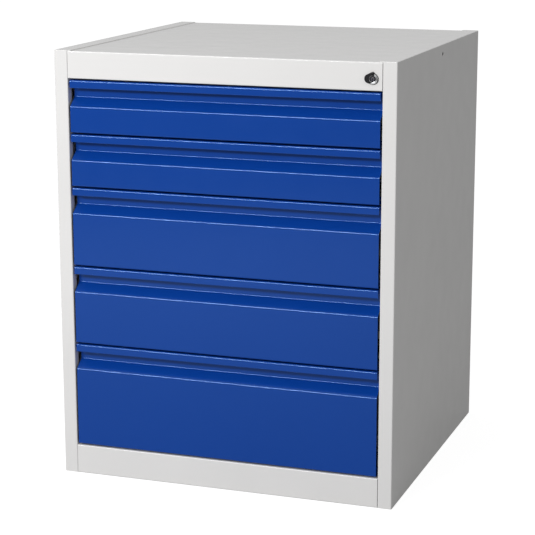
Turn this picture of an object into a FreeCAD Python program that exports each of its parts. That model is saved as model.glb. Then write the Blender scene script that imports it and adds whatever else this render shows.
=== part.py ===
"""Lockable steel drawer cabinet: a folded sheet case, five drawers on roller runners and a central lock.

The frame is +Z up with the drawers opening along -Y and +X to the right of a person facing them.  The
origin is on the floor, under the middle of the cabinet and of the lock that stands proud of its front.
Depths along Y are measured back from the front plane, on which the stiles, rails and drawer fronts lie.
"""
import FreeCAD, Part
import os
import re
import Sketcher

DRAWERS = range(1, 6)          # drawer 1 is the top one
POSTS = ("front", "rear")      # each side panel carries one post of each
GUIDED = DRAWERS[::2]          # drawers beside which a guide holds the lock bar
NEAR = 1e-4                    # how close two places or directions are to count as the same
HEX = 6                        # sides of screw heads and of threaded shanks
PIN = 8                        # sides of the runners' axles, their bores and the lock's small pins
NUT = 12                       # sides of the lock nut's bore

SIZES = [
    # Case
    ("case_width", 650, "over the two side panels"),
    ("case_height", 810, "floor to the flanges that carry a worktop"),
    ("case_depth", 620, "front plane to the back of the rear flanges"),
    ("case_gauge", 1.2, "sheet of the case"),
    ("stile_width", 26.3, "front face of a side panel, beside the opening"),
    ("stile_return", 15, "edge of a stile folded back into the opening"),
    ("top_rail", 51.5, "height of the front above the drawer opening"),
    ("bottom_rail", 55.5, "height of the front below the drawer opening"),
    ("rail_return", 20, "edge of a rail folded back at the opening"),
    ("top_flange", 32, "flange of a side panel over the top plate"),
    ("rear_flange", 20, "flange of a side panel behind the back panel"),
    ("base_flange", 20, "flange of a side panel on the floor"),
    ("rear_fold", 18, "rear edge of the top and floor panels, folded over the back panel"),
    ("seam", 0.5, "open seam between a rail and a stile"),
    ("seat", 0.2, "gap of a sheet's edge to the fold that it meets"),
    ("bend", 0.8, "inside radius of a fold"),
    ("side_hole_radius", 4, "hole for bolting to a neighbour"),
    ("side_hole_depth", 321, "front plane to the side hole"),
    ("side_hole_drop", 18, "top of the case to the side hole"),
    # Posts inside the side panels
    ("post_front", 60, "front plane to the front post"),
    ("post_setback", 32.6, "rear post to the back panel"),
    ("post_width", 40, "width of a post's face"),
    ("post_foot", 10, "foot of a post along the side panel"),
    # Drawer openings and fronts
    ("drawer_1_pitch", 100, "height of the opening that drawer 1 takes up"),
    ("drawer_2_pitch", 100, "the same for drawer 2"),
    ("drawer_3_pitch", 150, "the same for drawer 3"),
    ("drawer_4_pitch", 150, "the same for drawer 4"),
    ("front_gap", 3, "gap above and below each drawer front"),
    ("side_gap", 3.5, "gap between a drawer front and a stile"),
    ("front_gauge", 1.2, "sheet of a drawer front"),
    ("lip_height", 14.5, "lip that hides the grip recess"),
    ("hem_height", 7, "hem folded up behind the lip's edge"),
    ("hem_round", 0.9, "share of the sheet's gauge that rounds the edge of the hem"),
    ("grip_depth", 20, "front plane to the wall of the grip recess"),
    ("grip_drop", 32.5, "top of the front to the foot of the recess wall"),
    ("slope_drop", 48.5, "top of the front to where the sloping wall meets the face"),
    ("foot_rise", 12, "bottom edge of a front, turned up behind it"),
    # Trays
    ("tray_gauge", 1, "sheet of a tray"),
    ("tray_hem", 10, "hem folded inside a tray's top edge"),
    ("tray_headroom", 15, "top of a drawer front to the top of its tray"),
    ("tray_rear_gap", 22, "tray to back panel"),
    # Runners and rollers
    ("runner_space", 13.2, "opening's side to tray"),
    ("runner_gauge", 1.2, "sheet of the runners"),
    ("runner_lift", 4.8, "foot of a drawer front to its cabinet runner"),
    ("runner_gap", 0.5, "cabinet runner's edge to the drawer runner"),
    ("runner_front", 24, "front plane to the runners"),
    ("runner_step", 0.8, "top of the cabinet runner to the drawer runner's flange"),
    ("tray_ledge", 10, "drawer runner's flange under the tray"),
    ("ledge_lift", 2, "foot of the cabinet runner to the ledge"),
    ("flange_gap", 2.3, "drawer runner's flange to the opening's side"),
    ("roller_radius", 9.5, "nylon roller"),
    ("roller_width", 7.5, "nylon roller"),
    ("roller_rest", 0.3, "roller to the track that it runs on"),
    ("roller_play", 0.5, "rear roller to the runner's upper flange"),
    ("roller_setback", 12, "end of the runner to the front roller's axle"),
    ("rear_setback", 14, "rear of the tray to the rear roller's axle"),
    ("roller_washer", 0.7, "runner's web to its roller"),
    ("axle_radius", 2.5, "riveted axle"),
    ("axle_fit", 0.05, "running fit of a roller on its axle"),
    ("axle_end_play", 0.05, "roller to the head of its axle"),
    ("axle_head_radius", 4, "head of an axle"),
    ("axle_head", 0.6, "thickness of an axle's head"),
    ("travel", 420, "how far a drawer opens"),
    ("stop_depth", 5, "stop that hangs from the upper flange"),
    ("screw_radius", 2, "screws that hold the cabinet runners"),
    ("screw_fit", 0.1, "screw in its hole"),
    ("screw_length", 6, "screws that hold the cabinet runners"),
    ("screw_head_radius", 3.5, "screw's head"),
    ("screw_head", 1.3, "thickness of a screw's head"),
    # Cylinder lock
    ("lock_inset", 43.7, "right-hand side of the case to the lock's axis"),
    ("lock_drop", 30.5, "top of the case to the lock's axis"),
    ("bezel_radius", 10, "chrome bezel"),
    ("bezel_thickness", 3, "chrome bezel"),
    ("barrel_radius", 9.25, "housing behind the rail"),
    ("barrel_length", 20, "housing behind the front plane"),
    ("barrel_fit", 0.1, "housing in the rail's hole and in its nut"),
    ("nut_radius", 13, "lock nut, over its corners"),
    ("nut_thickness", 4, "lock nut"),
    ("plug_face_radius", 5.6, "face of the plug, where the key goes in"),
    ("plug_radius", 6.5, "plug inside the housing"),
    ("plug_fit", 0.08, "running fit of the plug in the housing"),
    ("plug_recess", 0.4, "bezel's face to the plug's face"),
    ("keyway_width", 1.8, "keyway"),
    ("keyway_height", 8.4, "keyway"),
    ("keyway_depth", 9, "keyway"),
    ("tang", 7, "square end of the plug, in the cam"),
    ("tang_fit", 0.05, "square end in the cam"),
    ("cam_gap", 0.3, "housing to cam"),
    ("cam_gauge", 2, "cam"),
    ("cam_hub_radius", 7.5, "cam, round the plug"),
    ("cam_arm_radius", 4.5, "cam, round its pin"),
    ("cam_throw", 13, "plug's axis to the cam's pin"),
    ("cam_pin_radius", 2.5, "cam's pin"),
    ("cam_pin_length", 7.2, "cam's pin"),
    ("cam_screw_radius", 1.9, "screw that holds the cam"),
    ("cam_screw_length", 8, "screw that holds the cam"),
    ("cam_screw_head_radius", 4.5, "screw that holds the cam"),
    ("cam_screw_head", 2, "screw that holds the cam"),
    # Dust cover on the lock
    ("pivot_rise", 9.5, "lock's axis to the dust cover's pivot"),
    ("pivot_radius", 1.2, "rivet that the cover swings on"),
    ("pivot_fit", 0.05, "running fit of the cover on its rivet"),
    ("pivot_ear", 2.9, "ear round the pivot"),
    ("pivot_head_radius", 2.2, "rivet's head"),
    ("pivot_head", 0.6, "rivet's head"),
    ("cover_radius", 8.3, "dust cover"),
    ("cover_gauge", 1, "dust cover"),
    ("cover_gap", 0.2, "dust cover to the bezel and to the rivet's head"),
    ("cover_swing", 42, "angle that the cover is swung aside, in degrees"),
    # Lock bar and catches
    ("bar_gauge", 2, "lock bar"),
    ("bar_width", 18, "lock bar, from front to back"),
    ("bar_front", 26, "front plane to the lock bar"),
    ("bar_gap", 2, "opening's side to the lock bar"),
    ("bar_tail", 12, "end of the lock bar below its lowest pin"),
    ("tongue_reach", 19.5, "tongue that the cam's pin lifts"),
    ("tongue_height", 16, "tongue that the cam's pin lifts"),
    ("yoke_height", 6, "slot in the tongue"),
    ("yoke_near", 4.5, "lock bar to the slot in its tongue"),
    ("yoke_length", 11, "slot in the tongue"),
    ("guide_gauge", 2, "guide of the lock bar"),
    ("guide_slack", 0.3, "lock bar in its guide"),
    ("guide_wall", 1.2, "guide, on the opening's side of the bar"),
    ("guide_margin", 4, "guide, in front of and behind the bar"),
    ("guide_foot", 16, "guide's flange on the side panel"),
    ("guide_height", 70, "foot of a cabinet runner to the guide"),
    ("pin_radius", 3.5, "pin of the lock bar"),
    ("pin_reach", 12.5, "lock bar to the end of its pin"),
    ("pin_depth", 5.5, "front edge of the lock bar to its pins"),
    ("pin_height", 34, "foot of a cabinet runner to the pin, unlocked"),
    ("pin_tail_radius", 2.2, "riveted tail of a pin"),
    ("pin_tail_fit", 0.05, "tail in the lock bar"),
    ("pin_rivet_radius", 3.2, "riveted head of a pin"),
    ("pin_rivet", 1, "riveted head of a pin"),
    ("lug_gauge", 2, "catch lug"),
    ("lug_reach", 8.7, "catch lug, out from the tray"),
    ("lug_foot", 20, "catch lug, along the tray"),
    ("lug_play", 1.5, "locked pin to its catch lug"),
    ("lug_low", 44, "foot of a cabinet runner to the lug's lower edge"),
    ("lug_high", 60, "foot of a cabinet runner to the lug's upper edge"),
]

DERIVED = [
    ("upper_stack", " + ".join(f"drawer_{drawer}_pitch" for drawer in DRAWERS[:-1])),
    ("drawer_5_pitch", "case_height - top_rail - upper_stack - front_gap - bottom_rail"),
    ("lock_proud", "bezel_thickness + 2*cover_gap + cover_gauge + pivot_head"),
    ("front_plane", "(lock_proud - case_depth)/2"),
    ("half_width", "case_width/2"),
    ("inner_half", "half_width - case_gauge"),
    ("panel_half", "inner_half - bend - seat"),
    ("opening_half", "half_width - stile_width"),
    ("rail_half", "opening_half - seam"),
    ("front_half", "opening_half - side_gap"),
    ("tray_half", "opening_half - runner_space"),
    ("plate_top", "case_height - case_gauge"),
    ("back_face", "case_depth - 2*case_gauge"),
    ("back_edge", "case_depth - case_gauge - bend - seat"),
    ("post_rear", "back_face - post_setback - post_width"),
    ("tray_front", "grip_depth + front_gauge"),
    ("tray_rear", "back_face - tray_rear_gap"),
    ("slope_shift", "front_gauge*tan(atan(grip_depth/(slope_drop - grip_drop))/2)"),
    ("track_top", "runner_gauge + roller_rest + 2*roller_radius + roller_play"),
    ("runner_height", "track_top + runner_gauge"),
    ("flange_height", "runner_height + runner_step"),
    ("channel_width", "runner_space - runner_gauge - runner_gap"),
    ("front_axle_depth", "runner_front + roller_setback"),
    ("front_axle_height", "flange_height - roller_rest - roller_radius"),
    ("rear_axle_depth", "tray_rear - rear_setback"),
    ("rear_axle_height", "runner_gauge + roller_rest + roller_radius"),
    ("runner_end", "rear_axle_depth + roller_radius + roller_play"),
    ("open_flange_depth", "front_axle_depth + roller_radius + 2"),
    ("lock_across", "half_width - lock_inset"),
    ("lock_height", "case_height - lock_drop"),
    ("cam_depth", "barrel_length + cam_gap"),
    ("bar_across", "opening_half + bar_gap"),
    ("yoke_rest", "lock_height - cam_throw*sin(45deg)"),
    ("pin_across", "bar_across - pin_reach"),
    ("lug_depth", "bar_front + pin_depth + pin_radius + lug_play"),
]

doc = FreeCAD.newDocument("drawer_cabinet")
sheet = doc.addObject("Spreadsheet::Sheet", "Size")
for row, (alias, size, meaning) in enumerate(SIZES, start=1):
    sheet.set(f"A{row}", alias)
    sheet.set(f"B{row}", str(size))
    sheet.setAlias(f"B{row}", alias)
    sheet.set(f"C{row}", meaning)
doc.recompute()

layout = doc.addObject("App::VarSet", "Layout")
keeper = {alias: "Size" for alias, size, meaning in SIZES}


def linked(text):
    """An expression with each named value spelt out as a cell of the sheet or a value of the layout."""
    def spelt(word):
        return f"{keeper[word[0]]}.{word[0]}" if word[0] in keeper else word[0]

    return re.sub(r"[a-z][a-z_0-9]*", spelt, str(text))


def derive(name, expression):
    """Add one value worked out from others to the layout."""
    layout.addProperty("App::PropertyFloat", name)
    layout.setExpression(name, linked(expression))
    keeper[name] = "Layout"


def number(expression):
    """What an expression comes to now."""
    return float(layout.evalExpression(linked(expression)))


for name, expression in DERIVED:
    derive(name, expression)
derive("front_1_top", "case_height - top_rail - front_gap")
for drawer in DRAWERS[1:]:
    derive(f"front_{drawer}_top", f"front_{drawer - 1}_top - drawer_{drawer - 1}_pitch")
for drawer in DRAWERS:
    derive(f"front_{drawer}_height", f"drawer_{drawer}_pitch - front_gap")
    derive(f"runner_{drawer}_foot", f"front_{drawer}_top - front_{drawer}_height + runner_lift")
doc.recompute()

# Extrusion axis: the plane to draw on, and which way that plane's normal points along the axis.
PLANES = {"x": ("YZ_Plane", 1), "y": ("XZ_Plane", -1), "z": ("XY_Plane", 1)}
# Extrusion axis: the two axes of its drawing.
ACROSS = {"x": ("y", "z"), "y": ("x", "z"), "z": ("x", "y")}
nodes = {}


def new_body(label, across="0", depth="0", height="0", node=True):
    """A body whose origin is `across`, `depth` behind the front plane and `height` above the floor."""
    body = doc.addObject("PartDesign::Body", label)
    body.Label = label
    body.setExpression("Placement.Base.x", linked(across))
    body.setExpression("Placement.Base.y", linked(f"front_plane + {depth}"))
    body.setExpression("Placement.Base.z", linked(height))
    if node:
        nodes[label] = body
    return body


def pin_to(sketch, kind, geometry, point, expression):
    """Hold one coordinate of a point of the sketch at an expression."""
    index = sketch.addConstraint(Sketcher.Constraint(kind, -1, 1, geometry, point, number(expression)))
    sketch.setExpression(f"Constraints[{index}]", linked(expression))


def draw_outline(sketch, corners):
    """A closed outline whose corners are pairs of expressions."""
    first = sketch.GeometryCount
    places = [FreeCAD.Vector(number(a), number(b), 0) for a, b in corners]
    for place, following in zip(places, places[1:] + places[:1]):
        sketch.addGeometry(Part.LineSegment(place, following))
    for step, (a, b) in enumerate(corners):
        line = first + step
        sketch.addConstraint(Sketcher.Constraint("Coincident", line, 2, first + (step + 1) % len(corners), 1))
        pin_to(sketch, "DistanceX", line, 1, a)
        pin_to(sketch, "DistanceY", line, 1, b)


def draw_circle(sketch, a, b, radius):
    """A circle whose centre and radius are expressions."""
    centre = FreeCAD.Vector(number(a), number(b), 0)
    circle = sketch.addGeometry(Part.Circle(centre, FreeCAD.Vector(0, 0, 1), number(radius)))
    pin_to(sketch, "DistanceX", circle, 3, a)
    pin_to(sketch, "DistanceY", circle, 3, b)
    index = sketch.addConstraint(Sketcher.Constraint("Radius", circle, number(radius)))
    sketch.setExpression(f"Constraints[{index}]", linked(radius))


def new_sketch(body, plane, shapes, offset="0"):
    """Outlines (lists of corners) and circles (a, b, radius) on one of the body's own planes."""
    sketch = body.newObject("Sketcher::SketchObject", "Sketch")
    support = [feature for feature in body.Origin.OriginFeatures if feature.Role == plane]
    sketch.AttachmentSupport = [(support[0], "")]
    sketch.MapMode = "FlatFace"
    sketch.setExpression("AttachmentOffset.Base.z", linked(offset))
    for shape in shapes:
        if isinstance(shape, list):
            draw_outline(sketch, shape)
        else:
            draw_circle(sketch, *shape)
    return sketch


def extrude(body, axis, shapes, start, length):
    """Add the shapes, from `start` over `length` along the positive axis."""
    plane, sense = PLANES[axis]
    pad = body.newObject("PartDesign::Pad", "Pad")
    pad.Profile = new_sketch(body, plane, shapes, f"{sense}*({start})")
    pad.Reversed = sense < 0
    pad.setExpression("Length", linked(length))
    body.Tip = pad
    doc.recompute()
    return pad


def cut(body, axis, shapes, start, length):
    """Remove the shapes, from `start` over `length` along the positive axis."""
    before = body.Shape.Volume
    plane, sense = PLANES[axis]
    pocket = body.newObject("PartDesign::Pocket", "Pocket")
    pocket.Profile = new_sketch(body, plane, shapes, f"{sense}*({start})")
    pocket.Reversed = sense > 0
    pocket.setExpression("Length", linked(length))
    body.Tip = pocket
    doc.recompute()
    if not body.Shape.Volume < before:
        raise ValueError(f"a pocket of {body.Label} cuts nothing")
    return pocket


def revolve(body, axis, outline):
    """Turn an outline about the body's x or y axis; its corners are (x, radius) or (radius, y)."""
    sketch = new_sketch(body, "XZ_Plane" if axis == "x" else "XY_Plane", [outline])
    turned = body.newObject("PartDesign::Revolution", "Revolution")
    turned.Profile = sketch
    turned.ReferenceAxis = (sketch, ["H_Axis" if axis == "x" else "V_Axis"])
    turned.Angle = 360
    body.Tip = turned
    doc.recompute()
    return turned


def round_corners(body, axis, corners, radius):
    """Round the straight edges that run along the axis through the given corners of a drawing."""
    wanted = [(number(a), number(b)) for a, b in corners]
    first, second = ACROSS[axis]
    tip = body.Tip
    names = []
    for index, edge in enumerate(tip.Shape.Edges, start=1):
        if edge.Curve.TypeId != "Part::GeomLine" or abs(getattr(edge.Curve.Direction, axis)) < 1 - NEAR:
            continue
        start = edge.Vertexes[0].Point
        for a, b in wanted:
            if abs(getattr(start, first) - a) < NEAR and abs(getattr(start, second) - b) < NEAR:
                names.append(f"Edge{index}")
    if not names:
        raise ValueError(f"no edge of {body.Label} to round")
    fillet = body.newObject("PartDesign::Fillet", "Fillet")
    fillet.Base = (tip, names)
    fillet.setExpression("Radius", linked(radius))
    body.Tip = fillet
    doc.recompute()
    return fillet


def round_folds(body, axis, outline, gauge):
    """Give each fold of a bent strip its inside and outside radius; the strip's cut ends stay square."""
    places = [FreeCAD.Vector(number(a), number(b), 0) for a, b in outline]
    count = len(places)
    turning = sum((places[i].cross(places[(i + 1) % count])).z for i in range(count))
    inside, outside = [], []
    for i in range(count):
        arriving = places[i] - places[i - 1]
        leaving = places[(i + 1) % count] - places[i]
        if min(arriving.Length, leaving.Length) < 3*number(gauge):
            continue
        convex = arriving.cross(leaving).z*turning > 0
        (outside if convex else inside).append(outline[i])
    round_corners(body, axis, outside, f"bend + {gauge}")
    round_corners(body, axis, inside, "bend")


def mirrored(source, label, node=True):
    """The same piece for the other side of the cabinet."""
    twin = doc.addObject("Part::Mirroring", label)
    twin.Label = label
    twin.Source = source
    twin.Normal = FreeCAD.Vector(1, 0, 0)
    if node:
        nodes[label] = twin
    return twin


def gather(label, pieces):
    """Several pieces as one sub-part."""
    group = doc.addObject("Part::Compound", label)
    group.Label = label
    group.Links = pieces
    nodes[label] = group
    return group


def pair(label, *halves):
    """Right-hand pieces and their mirrored twins as one sub-part."""
    twins = [mirrored(half, f"{half.Label}_twin", node=False) for half in halves]
    return gather(label, [*halves, *twins])


def rectangle(left, low, right, high):
    """The corners of a rectangle."""
    return [(left, low), (right, low), (right, high), (left, high)]


def ring(a, b, radius, sides):
    """The corners of a regular outline with a few flat sides, for small or hidden round features."""
    angles = [360*corner/sides for corner in range(sides)]
    return [(f"{a} + ({radius})*cos({angle}deg)", f"{b} + ({radius})*sin({angle}deg)")
            for angle in angles]


# Case: folded sheet, with flat faces that meet face to face where they are spot-welded.

def side_panels():
    """Side, stile, and flanges at the rear, top and floor, folded from one sheet, with a bolt hole."""
    body = new_body("side_panel_right")
    plan = [("opening_half", "stile_return"), ("opening_half", "0"), ("half_width", "0"),
            ("half_width", "case_depth"), ("half_width - rear_flange", "case_depth"),
            ("half_width - rear_flange", "case_depth - case_gauge"),
            ("inner_half", "case_depth - case_gauge"), ("inner_half", "case_gauge"),
            ("opening_half + case_gauge", "case_gauge"),
            ("opening_half + case_gauge", "stile_return")]
    extrude(body, "z", [plan], "0", "case_height")
    round_folds(body, "z", plan, "case_gauge")
    flange = rectangle("half_width - top_flange", "case_gauge", "inner_half", "case_depth - case_gauge")
    extrude(body, "z", [flange], "plate_top", "case_gauge")
    foot = rectangle("half_width - base_flange", "case_gauge", "inner_half", "case_depth - case_gauge")
    extrude(body, "z", [foot], "0", "case_gauge")
    hole = ("side_hole_depth", "case_height - side_hole_drop", "side_hole_radius")
    cut(body, "x", [hole], "inner_half - 1", "case_gauge + 2")
    mirrored(body, "side_panel_left")


def top_panel():
    """Top plate, with the upper front rail folded down from it and a fold over the back panel."""
    body = new_body("top_panel")
    section = [("rail_return", "case_height - top_rail"), ("0", "case_height - top_rail"), ("0", "plate_top"),
               ("case_depth", "plate_top"), ("case_depth", "plate_top - rear_fold"),
               ("case_depth - case_gauge", "plate_top - rear_fold"),
               ("case_depth - case_gauge", "plate_top - case_gauge"),
               ("case_gauge", "plate_top - case_gauge"),
               ("case_gauge", "case_height - top_rail + case_gauge"),
               ("rail_return", "case_height - top_rail + case_gauge")]
    extrude(body, "x", [section], "-rail_half", "2*rail_half")
    round_folds(body, "x", section, "case_gauge")
    plate = rectangle("-panel_half", "stile_return + seat", "panel_half", "back_edge")
    extrude(body, "z", [plate], "plate_top - case_gauge", "case_gauge")
    cut(body, "y", [("lock_across", "lock_height", "barrel_radius + barrel_fit")], "-1", "case_gauge + 2")


def bottom_front_rail():
    """Lower front rail, folded back at the opening and along the floor."""
    body = new_body("bottom_front_rail")
    section = [("rail_return", "bottom_rail"), ("0", "bottom_rail"), ("0", "0"), ("rail_return", "0"),
               ("rail_return", "case_gauge"), ("case_gauge", "case_gauge"),
               ("case_gauge", "bottom_rail - case_gauge"), ("rail_return", "bottom_rail - case_gauge")]
    extrude(body, "x", [section], "-rail_half", "2*rail_half")
    round_folds(body, "x", section, "case_gauge")


def floor_panel():
    """Floor plate on the case's base flanges, with a fold up behind the back panel."""
    body = new_body("floor_panel", height="case_gauge")
    front_edge = "case_gauge + bend + seat"
    section = [(front_edge, "0"), ("case_depth", "0"), ("case_depth", "rear_fold"),
               ("case_depth - case_gauge", "rear_fold"), ("case_depth - case_gauge", "case_gauge"),
               (front_edge, "case_gauge")]
    extrude(body, "x", [section], "-rail_half", "2*rail_half")
    round_folds(body, "x", section, "case_gauge")
    plate = rectangle("-panel_half", "stile_return + seat", "panel_half", "back_edge")
    extrude(body, "z", [plate], "0", "case_gauge")


def back_panel():
    """Flat sheet in front of the rear flanges, from the floor panel up to the top plate."""
    body = new_body("back_panel", height="2*case_gauge + bend + seat")
    sheet_plan = rectangle("-panel_half", "back_face", "panel_half", "back_face + case_gauge")
    extrude(body, "z", [sheet_plan], "0", "case_height - 4*case_gauge - 2*(bend + seat)")


def runner_screw_places(post):
    """Where the screws go through one post: (depth, height, level of the runner)."""
    return [(f"post_{post} + post_width/2", f"runner_{drawer}_foot + runner_height/2") for drawer in DRAWERS]


def posts():
    """Hat-section posts that bring the runners out to the edge of the opening."""
    for post in POSTS:
        body = new_body(f"post_{post}_right", height="2*case_gauge")
        near, far = f"post_{post}", f"post_{post} + post_width"
        plan = [("inner_half", f"{near} - post_foot"), ("inner_half - case_gauge", f"{near} - post_foot"),
                ("inner_half - case_gauge", near), ("opening_half", near), ("opening_half", far),
                ("inner_half - case_gauge", far), ("inner_half - case_gauge", f"{far} + post_foot"),
                ("inner_half", f"{far} + post_foot"), ("inner_half", f"{far} - case_gauge"),
                ("opening_half + case_gauge", f"{far} - case_gauge"),
                ("opening_half + case_gauge", f"{near} + case_gauge"), ("inner_half", f"{near} + case_gauge")]
        extrude(body, "z", [plan], "0", "case_height - 4*case_gauge")
        holes = [ring(depth, f"{height} - 2*case_gauge", "screw_radius + screw_fit", HEX)
                 for depth, height in runner_screw_places(post)]
        cut(body, "x", holes, "opening_half - 1", "case_gauge + 2")
        mirrored(body, f"post_{post}_left")


# Runners: the drawer's rear rollers run inside the cabinet runners, whose front rollers carry the drawer.

def axle(body, depth, height, start, sense):
    """A riveted axle with its head, out from a runner's web; `sense` is its way along x."""
    reach = "roller_washer + roller_width + axle_end_play"
    shank_start = start if sense > 0 else f"{start} - ({reach})"
    extrude(body, "x", [ring(depth, height, "axle_radius", PIN)], shank_start, reach)
    head_start = f"{start} + {reach}" if sense > 0 else f"{start} - ({reach}) - axle_head"
    extrude(body, "x", [ring(depth, height, "axle_head_radius", HEX)], head_start, "axle_head")


def roller(label, across, depth, height):
    """A pair of nylon rollers, each with a bore whose flats clear the corners of its axle."""
    half = new_body(f"{label}_half", across, depth, height, node=False)
    bore = ring("0", "0", f"(axle_radius + axle_fit)/cos({180/PIN}deg)", PIN)
    extrude(half, "x", [("0", "0", "roller_radius"), bore], "0", "roller_width")
    pair(label, half)


def cabinet_runners(drawer):
    """Channels that hold the rear rollers, with the front rollers' axles, stops and screw holes."""
    half = new_body(f"cabinet_runner_{drawer}", height=f"runner_{drawer}_foot", node=False)
    inner, web = "opening_half - channel_width", "opening_half - runner_gauge"
    angle = [("opening_half", "0"), ("opening_half", "runner_height"), (web, "runner_height"),
             (web, "runner_gauge"), (inner, "runner_gauge"), (inner, "0")]
    extrude(half, "y", [angle], "runner_front", "runner_end + runner_gauge - runner_front")
    flange = rectangle(inner, "track_top", web, "runner_height")
    extrude(half, "y", [flange], "open_flange_depth", "runner_end + runner_gauge - open_flange_depth")
    closed_end = rectangle(inner, "runner_gauge", web, "track_top")
    extrude(half, "y", [closed_end], "runner_end", "runner_gauge")
    stop = rectangle(inner, "track_top - stop_depth", web, "track_top")
    extrude(half, "y", [stop], "rear_axle_depth - travel - roller_radius - roller_play - runner_gauge",
            "runner_gauge")
    axle(half, "front_axle_depth", "front_axle_height", web, -1)
    holes = [ring(f"post_{post} + post_width/2", "runner_height/2", "screw_radius + screw_fit", HEX)
             for post in POSTS]
    cut(half, "x", holes, f"{web} - 1", "runner_gauge + 2")
    pair(f"cabinet_runners_{drawer}", half)
    roller(f"front_rollers_{drawer}", f"{web} - roller_washer - roller_width", "front_axle_depth",
           f"runner_{drawer}_foot + front_axle_height")


def drawer_runners(drawer):
    """Rails beside the tray, with the rear rollers' axles, and the ledges welded to their feet under it."""
    rail = new_body(f"drawer_rail_{drawer}", height=f"runner_{drawer}_foot", node=False)
    web, tip = "tray_half + runner_gauge", "opening_half - flange_gap"
    angle = [("tray_half", "ledge_lift"), (web, "ledge_lift"), (web, "flange_height"), (tip, "flange_height"),
             (tip, "flange_height + runner_gauge"), ("tray_half", "flange_height + runner_gauge")]
    extrude(rail, "y", [angle], "runner_front", "tray_rear - runner_front")
    axle(rail, "rear_axle_depth", "rear_axle_height", web, 1)
    ledge = new_body(f"tray_ledge_{drawer}", height=f"runner_{drawer}_foot", node=False)
    strip = rectangle("tray_half - tray_ledge", "ledge_lift", "tray_half", "ledge_lift + runner_gauge")
    extrude(ledge, "y", [strip], "runner_front", "tray_rear - runner_front")
    pair(f"drawer_runners_{drawer}", rail, ledge)
    roller(f"rear_rollers_{drawer}", f"{web} + roller_washer", "rear_axle_depth",
           f"runner_{drawer}_foot + rear_axle_height")


def runner_screws():
    """The screws that hold the cabinet runners on the posts."""
    half = new_body("runner_screw_side", node=False)
    places = [place for post in POSTS for place in runner_screw_places(post)]
    web = "opening_half - runner_gauge"
    extrude(half, "x", [ring(*place, "screw_radius", HEX) for place in places], web, "screw_length")
    heads = [ring(*place, "screw_head_radius", HEX) for place in places]
    extrude(half, "x", heads, f"{web} - screw_head", "screw_head")
    pair("runner_screws", half)


# Drawers

def drawer_front(drawer):
    """One folded sheet: a hemmed lip, the grip recess behind it, the slope, the face and its foot."""
    body = new_body(f"drawer_front_{drawer}", height=f"front_{drawer}_top")
    back, foot = "grip_depth + front_gauge", f"-front_{drawer}_height"
    brow, chin = ("0", "0"), ("0", foot)
    slope_top, slope_foot = ("grip_depth", "-grip_drop"), ("0", "-slope_drop")
    behind_top, behind_foot = (back, "-grip_drop - slope_shift"), ("front_gauge", "-slope_drop - slope_shift")
    hem_end, lip_end = "hem_height - lip_height", "-lip_height"
    section = [("0", lip_end), brow, (back, "0"), behind_top, behind_foot,
               ("front_gauge", f"{foot} + front_gauge"), ("grip_depth", f"{foot} + front_gauge"),
               ("grip_depth", f"{foot} + foot_rise"),
               (back, f"{foot} + foot_rise"), (back, foot), chin, slope_foot, slope_top,
               ("grip_depth", "-front_gauge"), ("front_gauge", "-front_gauge"), ("front_gauge", hem_end),
               ("2*front_gauge", hem_end), ("2*front_gauge", lip_end)]
    extrude(body, "x", [section], "-front_half", "2*front_half")
    round_corners(body, "x", [brow, chin, slope_foot, behind_top], "bend + front_gauge")
    round_corners(body, "x", [slope_top, behind_foot], "bend")
    round_corners(body, "x", [section[0], section[-1]], "hem_round*front_gauge")


def drawer_tray(drawer):
    """Open tray of five sheets welded along their edges; each wall has a hem folded inside its top edge."""
    foot = f"runner_{drawer}_foot + ledge_lift + runner_gauge"
    height = f"(front_{drawer}_height - tray_headroom - runner_lift - ledge_lift - runner_gauge)"
    hem_foot, skin, hem = f"{height} - tray_hem", "tray_half - tray_gauge", "tray_half - 2*tray_gauge"
    bottom = new_body(f"tray_bottom_{drawer}", height=foot, node=False)
    extrude(bottom, "z", [rectangle("-tray_half", "tray_front", "tray_half", "tray_rear")], "0", "tray_gauge")
    side = new_body(f"tray_side_{drawer}", height=foot, node=False)
    section = [("tray_half", "tray_gauge"), ("tray_half", height), (hem, height), (hem, hem_foot),
               (skin, hem_foot), (skin, "tray_gauge")]
    extrude(side, "y", [section], "tray_front + tray_gauge", "tray_rear - tray_front - 2*tray_gauge")
    sheets = [bottom, side, mirrored(side, f"tray_side_{drawer}_twin", node=False)]
    for end, wall, fold in (("front", "tray_front", "tray_front + tray_gauge"),
                            ("rear", "tray_rear - tray_gauge", "tray_rear - 2*tray_gauge")):
        across = new_body(f"tray_{end}_{drawer}", height=foot, node=False)
        extrude(across, "y", [rectangle("-tray_half", "tray_gauge", "tray_half", height)], wall, "tray_gauge")
        extrude(across, "y", [rectangle(f"-({hem})", hem_foot, hem, height)], fold, "tray_gauge")
        sheets.append(across)
    gather(f"drawer_tray_{drawer}", sheets)


def catch_lug(drawer):
    """Angle on the tray's right-hand side, caught by a pin of the lock bar."""
    body = new_body(f"catch_lug_{drawer}", height=f"runner_{drawer}_foot")
    plan = [("tray_half", "lug_depth"), ("tray_half + lug_reach", "lug_depth"),
            ("tray_half + lug_reach", "lug_depth + lug_gauge"),
            ("tray_half + lug_gauge", "lug_depth + lug_gauge"),
            ("tray_half + lug_gauge", "lug_depth + lug_foot"), ("tray_half", "lug_depth + lug_foot")]
    extrude(body, "z", [plan], "lug_low", "lug_high - lug_low")


# Lock: a cylinder lock in the upper rail lifts a bar whose pins then stand in front of the catch lugs.

def lock_body(label, turn="0"):
    """A body on the lock's axis, turned about it by an angle."""
    body = new_body(label, "lock_across", "0", "lock_height")
    body.setExpression("Placement.Rotation.Axis.x", "0")
    body.setExpression("Placement.Rotation.Axis.y", "1")
    body.setExpression("Placement.Rotation.Axis.z", "0")
    body.setExpression("Placement.Rotation.Angle", linked(turn))
    return body


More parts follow.
